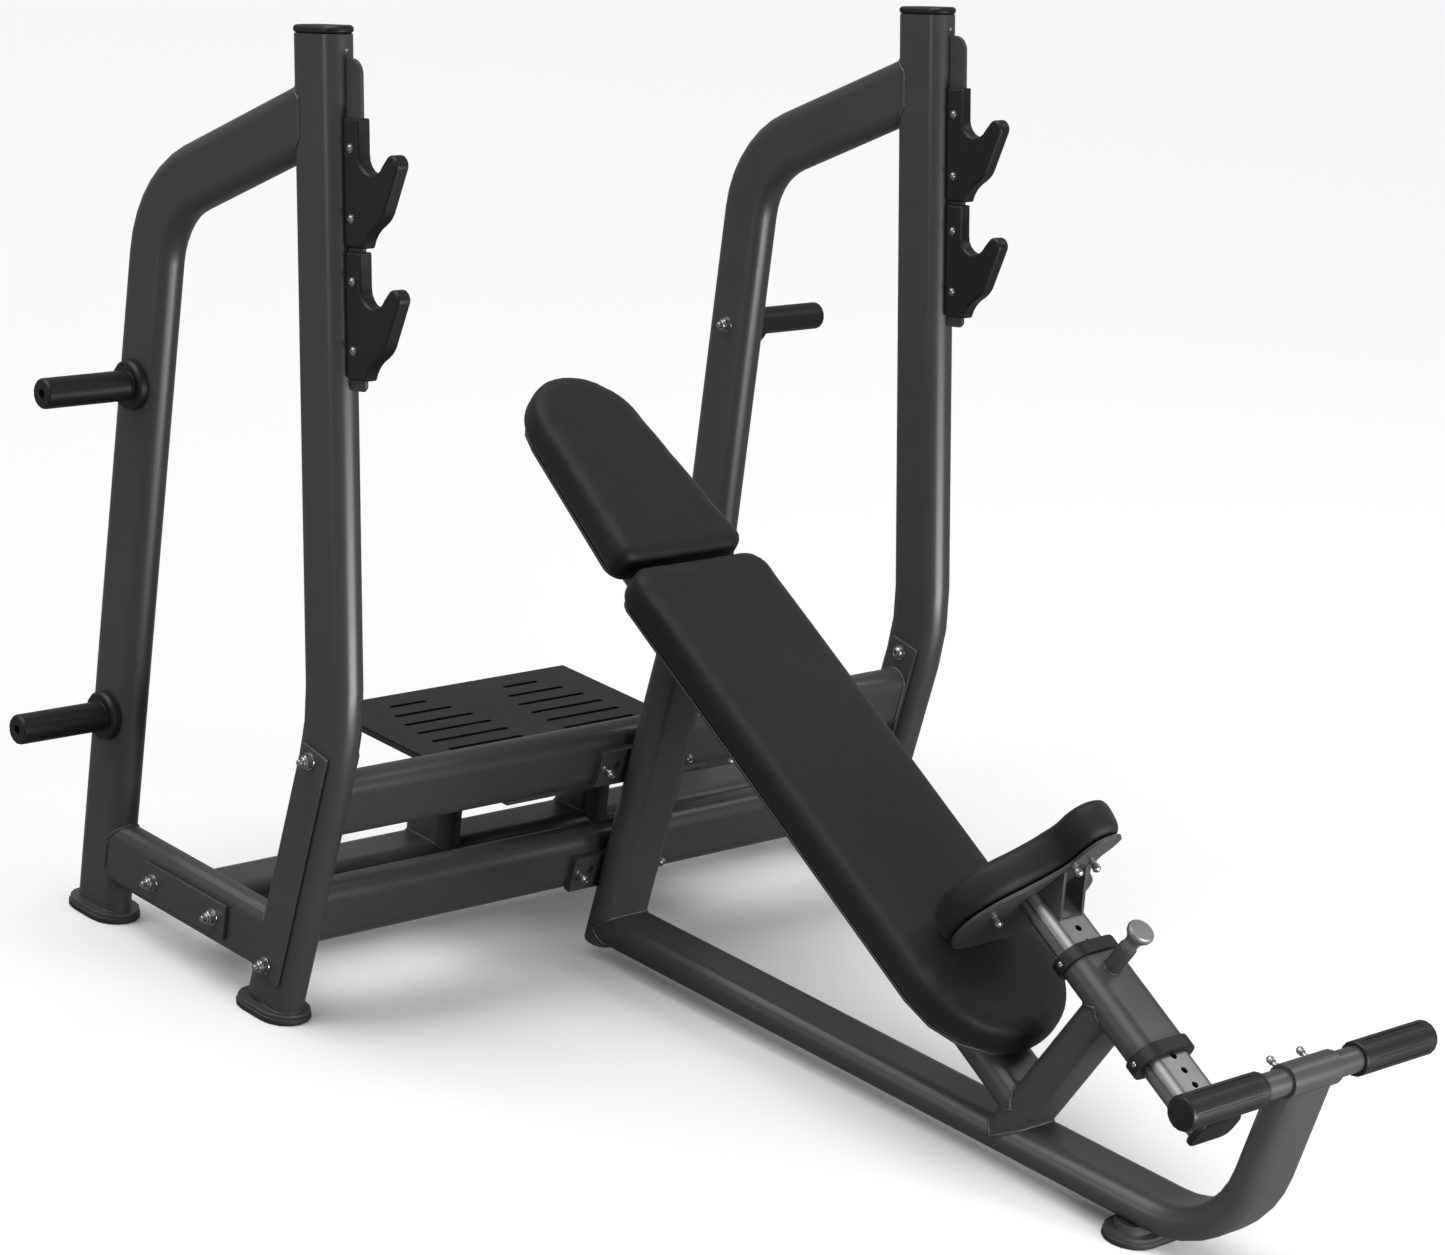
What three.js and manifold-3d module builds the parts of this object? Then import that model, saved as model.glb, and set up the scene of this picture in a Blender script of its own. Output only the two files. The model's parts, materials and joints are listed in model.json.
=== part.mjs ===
// Incline olympic bench press: a barbell rack with plate horns and a spotter platform, and a
// fixed incline bench with a sliding seat. Millimetres, +Z up, +Y to the rear, +X to the right
// of a person who faces the rack.
import * as THREE from 'three';
import { mergeVertices } from 'three/addons/utils/BufferGeometryUtils.js';
import Module from 'manifold-3d';

const wasm = await Module();
wasm.setup();

// ---------- facets ----------
const CURVE_STEPS = 4; // per quarter of a round section
const CORNER_STEPS = 1; // per eighth of a small corner
const SLIDE_STEPS = 2; // the same for the sliding tube's corners
const BEND_STEP = 10; // degrees of bend per facet
const TURN_STEPS = 16; // around a turned piece
const ROD_STEPS = 12;
const PAD_STEPS = 12; // per quarter of a pad's outline
const PAD_BEVELS = 3;
const SADDLE_STEPS = 56; // around the seat

// ---------- driving dimensions ----------
const GAP = 0.3; // clearance between pieces that touch
const FIT = 0.5; // running clearance of the sliding seat tube
const TUBE_LONG = 100; // flat-oval frame tube, long way
const TUBE_THIN = 50; // flat-oval frame tube, short way
const TUBE_WALL = 3;
const PLATE = 6; // joint plate thickness
const CAP_RADIUS = 3; // rounded rim of a moulded cap
const ROOM = 600; // blocks that trim a tube, larger than the tube

const SPAN = 1200; // centre to centre of the two uprights
const KNEE_Y = -216; // where the upright's two leans meet
const KNEE_Z = 460;
const KNEE_RADIUS = 350;
const UPPER_LEAN = THREE.MathUtils.degToRad(10); // above the knee, back towards the rear
const LOWER_LEAN = THREE.MathUtils.degToRad(9.5); // below the knee, foot set back
const UPRIGHT_LENGTH = 970; // knee to the open top end
const REAR_LEG_Y = 284;
const REAR_BEND_RADIUS = 155;
const REAR_BEND_Z = 1111; // where the rear leg's two straight lengths would meet
const REAR_TOP_ANGLE = THREE.MathUtils.degToRad(29.7);
const REAR_TOP_REACH = 150; // knee to where the rear leg's line ends inside the upright
const SIDE_BEAM_Z = 106;
const FOOT_LONG = 124;
const FOOT_WIDE = 79;
const FOOT_PLATE = 5;
const FOOT_RUBBER = 10;
const FOOT_GROW = 4; // rubber wider than the foot plate
const LEG_BOTTOM_Z = FOOT_PLATE + FOOT_RUBBER + GAP;

const FOOT_JOINT_HALF = 28; // long joint plates on both faces of the upright's foot
const FOOT_JOINT_BOTTOM = 61;
const FOOT_JOINT_TOP = 437;
const SIDE_JOINT_LONG = 200; // plates that join the side beams to the rear cross-beam
const SIDE_JOINT_HIGH = 54;
const SIDE_JOINT_Y = -3; // from the middle of the rear cross-beam

const HOOK_PLATE = 6;
const HOOK_PLATE_FRONT = 33; // reach of the hook plate in front of the tube
const HOOK_PLATE_BOTTOM = 484; // heights along the upright above the knee
const HOOK_PLATE_TOP = 938;
const HOOK_PLATE_CORNER = 22;
const HOOK_WIDE = 23;
const HOOK_PITCH = 181.5;
const HOOK_BOTTOM = 500;
const HOOK_HEIGHT = 176;
const HOOK_BACK = 3; // clearance in front of the tube
const HOOK_CRADLE = { forward: 61.5, up: 127, radius: 25.5 }; // round seat for the bar
const HOOK_TIP = { forward: 104, up: 116, radius: 14 };
const HOOK_BELLY = [[-91, 56], [-86, 42], [-72, 33], [-50, 22], [-43, 0]]; // lower front edge

const HORN_HEIGHTS = { lower: 319, upper: 831 };
const HORN_LENGTH = 160;
const HORN_RADIUS = 22.5;
const HORN_FLANGE_RADIUS = 37.5;
const HORN_FLANGE = 14;
const HORN_RECESS = { radius: 7, depth: 12 }; // screw hole in the horn's end

const UPPER_BEAM_UP = 339; // beam heights along the leaning foot of the upright
const LOWER_BEAM_UP = 161;
const REAR_BEAM_Y = 57;
const REAR_BEAM_Z = 105;
const DRAIN = 16; // hole in each closed tube end
const JOINT_HALF = 92; // bench joint plates on the two front cross-beams
const JOINT_HIGH = 58;
const UPPER_JOINT_UP = 333;
const LOWER_JOINT_UP = 150;
const PAD_SINK = 0.2; // weld pad let into the beam's face
const KEYHOLE = { radius: 7, x: 58, up: 4 };
const POST_X = 154;
const PLATFORM_HALF_WIDTH = 247;
const PLATFORM_BACK_Y = 234;
const PLATFORM_TOP_Z = 294;
const PLATFORM_THICK = 4;
const PLATFORM_RIM = 20; // rails set in from the back edge
const PLATFORM_SIDE_RIM = 42; // and from the side edges
const PLATFORM_TUBE = 30; // platform rails, square tube height
const PLATFORM_TUBE_WIDE = 25;
const SLOT_ROWS = 9; // two fields of slots, each with an oval outline
const SLOT_PITCH = 37.9;
const SLOT_LONG = 154;
const SLOT_WIDE = 8;
const SLOT_FIELD_X = 116.5;
const SLOT_FIELD_REACH = 4.55; // rows from the field's middle to the end of its oval

const SLOPE = THREE.MathUtils.degToRad(30); // backrest, seat tube and sleeve
const BACK_BEAM_RISE = 630; // heights square to the slope, from the frame's origin
const PAD_BOTTOM_RISE = 661;
const PAD_TOP_RISE = 721;
const SLEEVE_RISE = 863.6;
const SEAT_POST_FOOT = 500; // below the floor frame's rail, which it is trimmed to
const SEAT_POST_ALONG = -883; // places along the slope, positive uphill
const BACKREST_BOTTOM = -828;
const BACKREST_TOP = 92;
const BACKREST_HALF = 140;
const HEADREST_BOTTOM = 97;
const HEADREST_TOP = 476;
const HEADREST_WIDE = 127;
const HEADREST_NARROW = 104;
const BACKREST_CORNER = 42;
const HEADREST_CORNER = 26;
const PAD_ROUNDING = 15;
const BOARD = 5;
const BOARD_INSET = 14; // boards stop short of the pads' edges

const REAR_POST_FOOT = 27;
const REAR_POST_TOP = 560;
const BACK_BEAM_TOP = 340;
const RAIL_Z = 52;
const RISER_CORNER_Y = -1455;
const RISER_LEAN = THREE.MathUtils.degToRad(12.6);
const RISER_BEND_RADIUS = 150;
const BENCH_FOOT_Y = -1299;
const FOOTREST_Y = -1520;
const FOOTREST_Z = 328;
const BAR_RADIUS = 18.5;
const BAR_SLEEVE_RADIUS = 24;
const BAR_SLEEVE_HALF = 50;
const GRIP_RADIUS = 24.5;
const GRIP_START = 100;
const GRIP_END = 256;
const FLUTES = 10;
const FLUTE = 3;

const SLEEVE_TOP = -803;
const SLEEVE_BOTTOM = -985;
const COLLAR = 20;
const COLLAR_LIP = 6; // length of a collar beyond the sleeve's end
const COLLAR_GROW = 10;
const SLIDE_WIDE = 77;
const SLIDE_HIGH = 39;
const SLIDE_CORNER = 15;
const SLIDE_WALL = 7;
const GROOVE = 4;
const CAP_GROW = 10; // end cap wider than the sliding tube
const SLIDE_TOP = -699;
const SLIDE_BOTTOM = -1100;
const HOLE_PITCH = 25;
const HOLE_RADIUS = 5.5;
const PIN_ALONG = -845;
const PIN_RADIUS = 5;
const BARREL_HEIGHT = 46;
const BARREL_RADIUS = 13;
const KNOB_RADIUS = 20;
const SEAT_TILT = THREE.MathUtils.degToRad(79); // seat board, square to the slope less 11 degrees
const BOARD_LEAN = Math.PI / 2 - SEAT_TILT;
const SEAT_THICK = 58;
const SEAT_BOARD = 5;
const SEAT_LIFT = 1; // seat board above the sliding tube's end
const SEAT_OVERHANG = 10; // seat pad beyond its board
const SADDLE_HALF = [ // right half of the seat's outline, from its back to its nose
  [0, 138], [60, 133], [100, 93], [116, 36], [98, -9],
  [52, -55], [28, -97], [30, -134], [22, -161], [0, -170],
];
const BRACKET_TALL = 58;
const BRACKET_REACH = 50;

// ---------- colours ----------
const look = (color, roughness, metalness) => new THREE.MeshStandardMaterial({ color, roughness, metalness });
const paint = () => look(0x434446, 0.42, 0.35);
const plastic = () => look(0x151617, 0.5, 0);
const rubber = () => look(0x111111, 0.85, 0);
const vinyl = () => look(0x1c1d1d, 0.6, 0);
const alloy = () => look(0x9c9ea1, 0.35, 0.9);
const steel = () => look(0x77787a, 0.4, 0.8);

// ---------- geometry helpers ----------

/** A closed solid for joining and cutting, taken from a geometry. */
function solid(geometry) {
  const bare = geometry.index ? geometry.toNonIndexed() : geometry.clone();
  bare.deleteAttribute('normal');
  bare.deleteAttribute('uv');
  const merged = mergeVertices(bare, 1e-4);
  return new wasm.Manifold(new wasm.Mesh({
    numProp: 3,
    vertProperties: merged.attributes.position.array,
    triVerts: new Uint32Array(merged.index.array),
  }));
}

/** A geometry from a joined or cut solid. */
function geometryOf(body) {
  const mesh = body.getMesh();
  const geometry = new THREE.BufferGeometry();
  geometry.setAttribute('position', new THREE.BufferAttribute(new Float32Array(mesh.vertProperties), 3));
  geometry.setIndex(new THREE.BufferAttribute(new Uint32Array(mesh.triVerts), 1));
  geometry.computeVertexNormals();
  return geometry;
}

const cut = (geometry, ...tools) => geometryOf(
  tools.reduce((body, tool) => body.subtract(solid(tool)), solid(geometry)),
);
const join = (first, ...others) => geometryOf(
  others.reduce((body, other) => body.add(solid(other)), solid(first)),
);
const block = (x, y, z) => new THREE.BoxGeometry(x, y, z);

const moved = (geometry, x, y, z) => geometry.clone().translate(x, y, z);

/** Flat-oval outline centred on the origin, width along x and height along y. */
function ovalShape(width, height, Kind = THREE.Shape) {
  const radius = Math.min(width, height) / 2;
  const shape = new Kind();
  if (width >= height) {
    const reach = width / 2 - radius;
    shape.absarc(reach, 0, radius, -Math.PI / 2, Math.PI / 2, false);
    shape.absarc(-reach, 0, radius, Math.PI / 2, Math.PI * 1.5, false);
  } else {
    const reach = height / 2 - radius;
    shape.absarc(0, reach, radius, 0, Math.PI, false);
    shape.absarc(0, -reach, radius, Math.PI, Math.PI * 2, false);
  }
  return shape;
}

const roundShape = (radius, Kind) => ovalShape(2 * radius, 2 * radius, Kind);

/** Flat-oval tube outline with its wall, or a filled one when the wall is 0. */
function tubeShape(width, height, wall) {
  const shape = ovalShape(width, height);
  if (wall > 0) shape.holes.push(ovalShape(width - 2 * wall, height - 2 * wall, THREE.Path));
  return shape;
}

/** Rectangle outline with round corners, centred on the origin. */
function roundedShape(width, height, radius, Kind = THREE.Shape) {
  const x = width / 2 - radius;
  const y = height / 2 - radius;
  const shape = new Kind();
  shape.absarc(x, y, radius, 0, Math.PI / 2, false);
  shape.absarc(-x, y, radius, Math.PI / 2, Math.PI, false);
  shape.absarc(-x, -y, radius, Math.PI, Math.PI * 1.5, false);
  shape.absarc(x, -y, radius, Math.PI * 1.5, Math.PI * 2, false);
  return shape;
}

/** A bent centre line in the YZ plane: straight lengths between corners, with a round bend at each. */
class BentRun extends THREE.Curve {
  constructor(corners, radius = 0, bendStep = THREE.MathUtils.degToRad(BEND_STEP)) {
    super();
    const points = corners.map(([y, z]) => new THREE.Vector3(0, y, z));
    const heading = (a, b) => b.clone().sub(a).normalize();
    this.stations = [{ point: points[0], tangent: heading(points[0], points[1]) }];
    for (let i = 1; i < points.length - 1; i += 1) {
      const into = heading(points[i - 1], points[i]);
      this.addBend(points[i], into, heading(points[i], points[i + 1]), radius, bendStep);
    }
    const last = points.length - 1;
    this.stations.push({ point: points[last], tangent: heading(points[last - 1], points[last]) });
  }

  addBend(corner, into, out, radius, bendStep) {
    const turn = into.angleTo(out);
    const start = corner.clone().addScaledVector(into, -radius * Math.tan(turn / 2));
    const side = out.clone().addScaledVector(into, -out.dot(into)).normalize();
    const steps = Math.ceil(turn / bendStep);
    for (let i = 0; i <= steps; i += 1) {
      const angle = (turn * i) / steps;
      const point = start.clone().addScaledVector(into, radius * Math.sin(angle));
      point.addScaledVector(side, radius * (1 - Math.cos(angle)));
      const tangent = into.clone().multiplyScalar(Math.cos(angle)).addScaledVector(side, Math.sin(angle));
      this.stations.push({ point, tangent });
    }
  }

  get steps() { return this.stations.length - 1; }

  at(t) { return this.stations[Math.round(t * this.steps)]; }

  getPoint(t, target = new THREE.Vector3()) { return target.copy(this.at(t).point); }

  getPointAt(u, target) { return this.getPoint(u, target); }

  getTangentAt(u, target = new THREE.Vector3()) { return target.copy(this.at(u).tangent); }

  computeFrenetFrames() {
    const across = new THREE.Vector3(-1, 0, 0);
    const tangents = this.stations.map(({ tangent }) => tangent.clone());
    const normals = tangents.map(() => across.clone());
    const binormals = tangents.map((tangent) => tangent.clone().cross(across));
    return { tangents, normals, binormals };
  }
}

/** A section swept along a bent run: shape x lies along world X, shape y square to the run. */
function sweep(shape, corners, radius) {
  const run = new BentRun(corners, radius);
  return new THREE.ExtrudeGeometry(shape, { extrudePath: run, steps: run.steps, curveSegments: CURVE_STEPS });
}

/** A flat plate: outline in XY, from z = 0 up to the thickness, with an optional edge rounding. */
function plate(shape, thickness, rounding = 0, curveSegments = CURVE_STEPS, bevelSegments = 1) {
  return new THREE.ExtrudeGeometry(shape, {
    depth: thickness - 2 * rounding,
    curveSegments,
    bevelEnabled: rounding > 0,
    bevelThickness: rounding,
    bevelSize: rounding,
    bevelOffset: -rounding,
    bevelSegments,
  }).translate(0, 0, rounding);
}

/** A plate standing in the YZ plane: its outline is given in (y, z), and it is centred on x = 0. */
function standingPlate(shape, thickness, rounding = 0, curveSegments = CURVE_STEPS) {
  return plate(shape, thickness, rounding, curveSegments).translate(0, 0, -thickness / 2)
    .rotateX(Math.PI / 2).rotateZ(Math.PI / 2);
}

/** A straight bar along X between two places. */
function barX(shape, from, to) {
  return plate(shape, to - from).rotateY(Math.PI / 2).rotateX(Math.PI / 2).translate(from, 0, 0);
}

/** A turned piece about Z from a profile of [radius, height] pairs. */
const turned = (profile, segments = TURN_STEPS) => new THREE.LatheGeometry(
  profile.map(([radius, height]) => new THREE.Vector2(radius, height)),
  segments,
).rotateX(Math.PI / 2);

/** A round rod along Z with its foot at z = 0. */
const rod = (radius, length, segments = ROD_STEPS) => (
  new THREE.CylinderGeometry(radius, radius, length, segments)
    .translate(0, length / 2, 0).rotateX(Math.PI / 2)
);

const polygon = (corners) => new THREE.Shape(corners.map(([x, y]) => new THREE.Vector2(x, y)));

/** A named piece in a group, with its place and its turn about X. */
function piece(group, name, geometry, material, x = 0, y = 0, z = 0, turn = 0) {
  const mesh = new THREE.Mesh(geometry, material);
  mesh.name = name;
  mesh.position.set(x, y, z);
  mesh.rotation.x = turn;
  group.add(mesh);
  return mesh;
}

// ---------- rack lines, seen from the side as (y, z) ----------
const footY = KNEE_Y + KNEE_Z * Math.tan(LOWER_LEAN);
const uprightFoot = (z) => footY - z * Math.tan(LOWER_LEAN);
const uprightTopY = KNEE_Y + UPRIGHT_LENGTH * Math.sin(UPPER_LEAN);
const uprightTopZ = KNEE_Z + UPRIGHT_LENGTH * Math.cos(UPPER_LEAN);
const uprightLine = [[uprightFoot(LEG_BOTTOM_Z), LEG_BOTTOM_Z], [KNEE_Y, KNEE_Z], [uprightTopY, uprightTopZ]];
const rearTopY = KNEE_Y + REAR_TOP_REACH;
const rearTopZ = REAR_BEND_Z + (REAR_LEG_Y - rearTopY) * Math.tan(REAR_TOP_ANGLE);
const rearLegLine = [[REAR_LEG_Y, LEG_BOTTOM_Z], [REAR_LEG_Y, REAR_BEND_Z], [rearTopY, rearTopZ]];
const sideTube = (wall, grow = 0) => tubeShape(TUBE_THIN + grow, TUBE_LONG + grow, wall);

/** The space that an upright fills, with the touching gap around it. */
const uprightRoom = () => sweep(sideTube(0, 2 * GAP), uprightLine, KNEE_RADIUS);

// ---------- rack pieces ----------

/** Foot outline, long along X or Y, grown by an edge allowance. */
const footShape = (alongX, grow = 0) => (
  alongX ? ovalShape(FOOT_LONG + grow, FOOT_WIDE + grow) : ovalShape(FOOT_WIDE + grow, FOOT_LONG + grow)
);

/** Steel foot plate welded under a tube. */
const footPlate = (alongX) => plate(footShape(alongX), FOOT_PLATE);

/** Rubber foot under the foot plate, a little wider than it. */
const rubberFoot = (alongX) => plate(footShape(alongX, FOOT_GROW), FOOT_RUBBER, 2);

function uprightTube() {
  const tube = sweep(sideTube(TUBE_WALL), uprightLine, KNEE_RADIUS);
  const floorTrim = block(ROOM, ROOM, ROOM).translate(0, footY, FOOT_RUBBER + GAP - ROOM / 2);
  return cut(join(tube, moved(footPlate(false), 0, footY, FOOT_RUBBER + GAP)), floorTrim);
}

function rearLegTube() {
  const tube = cut(sweep(sideTube(TUBE_WALL), rearLegLine, REAR_BEND_RADIUS), uprightRoom());
  return join(tube, moved(footPlate(false), 0, REAR_LEG_Y, FOOT_RUBBER + GAP));
}

function sideBeamTube() {
  const line = [[uprightFoot(SIDE_BEAM_Z), SIDE_BEAM_Z], [REAR_LEG_Y, SIDE_BEAM_Z]];
  const rearRoom = sweep(sideTube(0, 2 * GAP), rearLegLine, REAR_BEND_RADIUS);
  return cut(sweep(sideTube(TUBE_WALL), line), uprightRoom(), rearRoom);
}

/** Cap pressed on the upright's open end, with a spigot inside the tube. */
function uprightCap() {
  const spigot = 2 * TUBE_WALL + 2 * FIT;
  const depth = 20;
  const lid = plate(ovalShape(TUBE_THIN + 2, TUBE_LONG + 2), 11, CAP_RADIUS);
  const plug = plate(ovalShape(TUBE_THIN - spigot, TUBE_LONG - spigot), depth + 2);
  return join(moved(lid, 0, 0, GAP), moved(plug, 0, 0, -depth));
}

/** Flat steel plate edge-welded to the upright's front, which the two bar hooks are bolted to. */
function hookPlate() {
  const back = TUBE_LONG / 2 + 2 * GAP;
  const front = TUBE_LONG / 2 + HOOK_PLATE_FRONT;
  const top = HOOK_PLATE_TOP - HOOK_PLATE_CORNER;
  const chamfer = 6;
  const shape = new THREE.Shape();
  shape.moveTo(-back, HOOK_PLATE_BOTTOM);
  shape.lineTo(-front + chamfer, HOOK_PLATE_BOTTOM);
  shape.lineTo(-front, HOOK_PLATE_BOTTOM + chamfer);
  shape.lineTo(-front, top);
  shape.absarc(-front + HOOK_PLATE_CORNER, top, HOOK_PLATE_CORNER, Math.PI, Math.PI / 2, true);
  shape.lineTo(-back, HOOK_PLATE_TOP);
  shape.closePath();
  return standingPlate(shape, HOOK_PLATE);
}

/** J-shaped bar hook, slotted over the hook plate; outline (-forward, up) from its lower back corner. */
function barHook() {
  const stem = HOOK_CRADLE.forward - HOOK_CRADLE.radius;
  const [start, firstPull, middle, secondPull, end] = HOOK_BELLY;
  const shape = new THREE.Shape();
  shape.moveTo(-HOOK_BACK, 0);
  shape.lineTo(-HOOK_BACK, HOOK_HEIGHT);
  shape.lineTo(-stem, HOOK_HEIGHT);
  shape.absarc(-HOOK_CRADLE.forward, HOOK_CRADLE.up, HOOK_CRADLE.radius, 0, -Math.PI * 0.84, true);
  shape.absarc(-HOOK_TIP.forward, HOOK_TIP.up, HOOK_TIP.radius, Math.PI * 0.2, Math.PI * 1.12, false);
  shape.lineTo(...start);
  shape.quadraticCurveTo(...firstPull, ...middle);
  shape.quadraticCurveTo(...secondPull, ...end);
  shape.closePath();
  const slot = block(HOOK_PLATE + 2 * GAP, ROOM, ROOM).translate(0, ROOM / 2 - HOOK_PLATE_FRONT - GAP, 0);
  return cut(standingPlate(shape, HOOK_WIDE, CAP_RADIUS), slot);
}

/** Plate horn: plastic sleeve with a round flange, along +X from the tube's outer face. */
function plateHorn() {
  const chamfer = 4;
  const recess = HORN_LENGTH - HORN_RECESS.depth;
  const profile = [
    [0, GAP], [HORN_FLANGE_RADIUS, GAP], [HORN_FLANGE_RADIUS, HORN_FLANGE - chamfer],
    [HORN_FLANGE_RADIUS - chamfer, HORN_FLANGE], [HORN_RADIUS, HORN_FLANGE],
    [HORN_RADIUS, HORN_LENGTH - CAP_RADIUS], [HORN_RADIUS - CAP_RADIUS, HORN_LENGTH],
    [HORN_RECESS.radius, HORN_LENGTH], [HORN_RECESS.radius, recess], [0, recess],
  ];
  return turned(profile).rotateY(Math.PI / 2);
}

/** Long joint plate along the leaning foot of the upright: outline (y, up the foot). */
function footJointPlate() {
  const shape = roundedShape(2 * FOOT_JOINT_HALF, FOOT_JOINT_TOP - FOOT_JOINT_BOTTOM, 3);
  const middle = (FOOT_JOINT_TOP + FOOT_JOINT_BOTTOM) / 2;
  return standingPlate(shape, PLATE, 0, CORNER_STEPS).translate(0, 0, middle);
}

/** Joint plate on the outer face of a side beam, and the like one on the rear cross-beam's end. */
const sideJointPlate = () => (
  standingPlate(roundedShape(SIDE_JOINT_LONG, SIDE_JOINT_HIGH, 4), PLATE, 0, CORNER_STEPS)
);

function buildRackSide(rack, name, side) {
  const half = (SPAN / 2) * side;
  const platePlace = TUBE_THIN / 2 + GAP + PLATE / 2;
  const outerFace = (SPAN / 2 + platePlace) * side;
  const innerFace = (SPAN / 2 - platePlace) * side;
  const front = TUBE_LONG / 2;
  const hookY = (up) => KNEE_Y + up * Math.sin(UPPER_LEAN) - front * Math.cos(UPPER_LEAN);
  const hookZ = (up) => KNEE_Z + up * Math.cos(UPPER_LEAN) + front * Math.sin(UPPER_LEAN);

  piece(rack, `${name}_upright`, uprightTube(), paint(), half);
  piece(rack, `${name}_upright_cap`, uprightCap(), plastic(), half, uprightTopY, uprightTopZ, -UPPER_LEAN);
  piece(rack, `${name}_rear_leg`, rearLegTube(), paint(), half);
  piece(rack, `${name}_side_beam`, sideBeamTube(), paint(), half);
  piece(rack, `${name}_front_rubber_foot`, rubberFoot(false), rubber(), half, footY);
  piece(rack, `${name}_rear_rubber_foot`, rubberFoot(false), rubber(), half, REAR_LEG_Y);
  piece(rack, `${name}_hook_plate`, hookPlate(), paint(), half, KNEE_Y, KNEE_Z, -UPPER_LEAN);
  ['lower', 'upper'].forEach((level, i) => {
    const up = HOOK_BOTTOM + i * HOOK_PITCH;
    piece(rack, `${name}_${level}_bar_hook`, barHook(), plastic(), half, hookY(up), hookZ(up), -UPPER_LEAN);
  });
  Object.entries(HORN_HEIGHTS).forEach(([level, z]) => {
    const x = half + (TUBE_THIN / 2) * side;
    const horn = piece(rack, `${name}_${level}_plate_horn`, plateHorn(), plastic(), x, REAR_LEG_Y, z);
    horn.rotation.z = side > 0 ? 0 : Math.PI;
  });
  piece(rack, `${name}_outer_joint_plate`, footJointPlate(), paint(), outerFace, footY, 0, LOWER_LEAN);
  piece(rack, `${name}_inner_joint_plate`, footJointPlate(), paint(), innerFace, footY, 0, LOWER_LEAN);
  const jointY = REAR_BEAM_Y + SIDE_JOINT_Y;
  piece(rack, `${name}_side_joint_plate`, sideJointPlate(), paint(), outerFace, jointY, SIDE_BEAM_Z);
}

const innerFaceX = SPAN / 2 - TUBE_THIN / 2 - GAP;

/** Cross-beam between the inner joint plates, with the flat pad that the bench bolts to on its front. */
function crossBeam(padDrop) {
  const reach = innerFaceX - PLATE - GAP;
  const beam = barX(tubeShape(TUBE_THIN, TUBE_LONG, TUBE_WALL), -reach, reach);
  const face = -(TUBE_THIN + PLATE) / 2 + PAD_SINK;
  return join(beam, block(2 * JOINT_HALF, PLATE, JOINT_HIGH).translate(0, face, padDrop));
}

/** Rear cross-beam, lying flat, with its bolted end plates. */
function rearBeam() {
  const reach = innerFaceX - 2 * GAP;
  const inner = reach - PLATE / 2;
  const beam = barX(tubeShape(TUBE_LONG, TUBE_THIN, TUBE_WALL), -inner, inner);
  const lift = SIDE_BEAM_Z - REAR_BEAM_Z;
  const ends = [-inner, inner].map((x) => sideJointPlate().translate(x, SIDE_JOINT_Y, lift));
  const drains = barX(roundShape(DRAIN / 2), -SPAN / 2, SPAN / 2);
  return cut(join(beam, ...ends), drains);
}

const platformFrontY = uprightFoot(PLATFORM_TOP_Z) + TUBE_THIN / 2 / Math.cos(LOWER_LEAN) + 3;
const postTopZ = PLATFORM_TOP_Z - PLATFORM_THICK - PLATFORM_TUBE - 2 * GAP;

/** Short flat-oval post from the rear cross-beam up to the platform rails. */
function platformPost() {
  const post = sweep(tubeShape(TUBE_THIN, TUBE_LONG, TUBE_WALL), [[0, REAR_BEAM_Z], [0, postTopZ]]);
  const beamRoom = barX(ovalShape(TUBE_LONG + 2 * GAP, TUBE_THIN + 2 * GAP), -ROOM, ROOM)
    .translate(0, 0, REAR_BEAM_Z);
  return cut(post, beamRoom);
}

/** Welded rails under the platform: two along Y and three across. */
function platformRails() {
  const backY = PLATFORM_BACK_Y - PLATFORM_RIM;
  const reach = PLATFORM_HALF_WIDTH - PLATFORM_SIDE_RIM;
  const half = PLATFORM_TUBE_WIDE / 2;
  const rail = (width, length) => block(width, length, PLATFORM_TUBE);
  const sides = [-1, 1].map((side) => rail(2 * half, backY - platformFrontY)
    .translate(side * (reach - half), (backY + platformFrontY) / 2, 0));
  const across = [platformFrontY + half, REAR_BEAM_Y, backY - half]
    .map((y) => rail(2 * reach, 2 * half).translate(0, y, 0));
  return join(...sides, ...across);
}

/** Platform deck: a flat plate with two fields of parallel slots, the middle ones longest. */
function platformDeck() {
  const depth = PLATFORM_BACK_Y - platformFrontY;
  const wide = PLATFORM_HALF_WIDTH;
  const shape = polygon([[-wide, 0], [wide, 0], [wide, depth], [-wide, depth]]);
  const middleRow = (SLOT_ROWS - 1) / 2;
  for (let row = -middleRow; row <= middleRow; row += 1) {
    const slot = ovalShape(SLOT_LONG * Math.sqrt(1 - (row / SLOT_FIELD_REACH) ** 2), SLOT_WIDE, THREE.Path);
    const y = depth / 2 + row * SLOT_PITCH;
    [-SLOT_FIELD_X, SLOT_FIELD_X].forEach((x) => {
      const points = slot.getPoints(2 * CORNER_STEPS);
      shape.holes.push(new THREE.Path(points.map((point) => new THREE.Vector2(point.x + x, point.y + y))));
    });
  }
  return plate(shape, PLATFORM_THICK);
}

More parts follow.
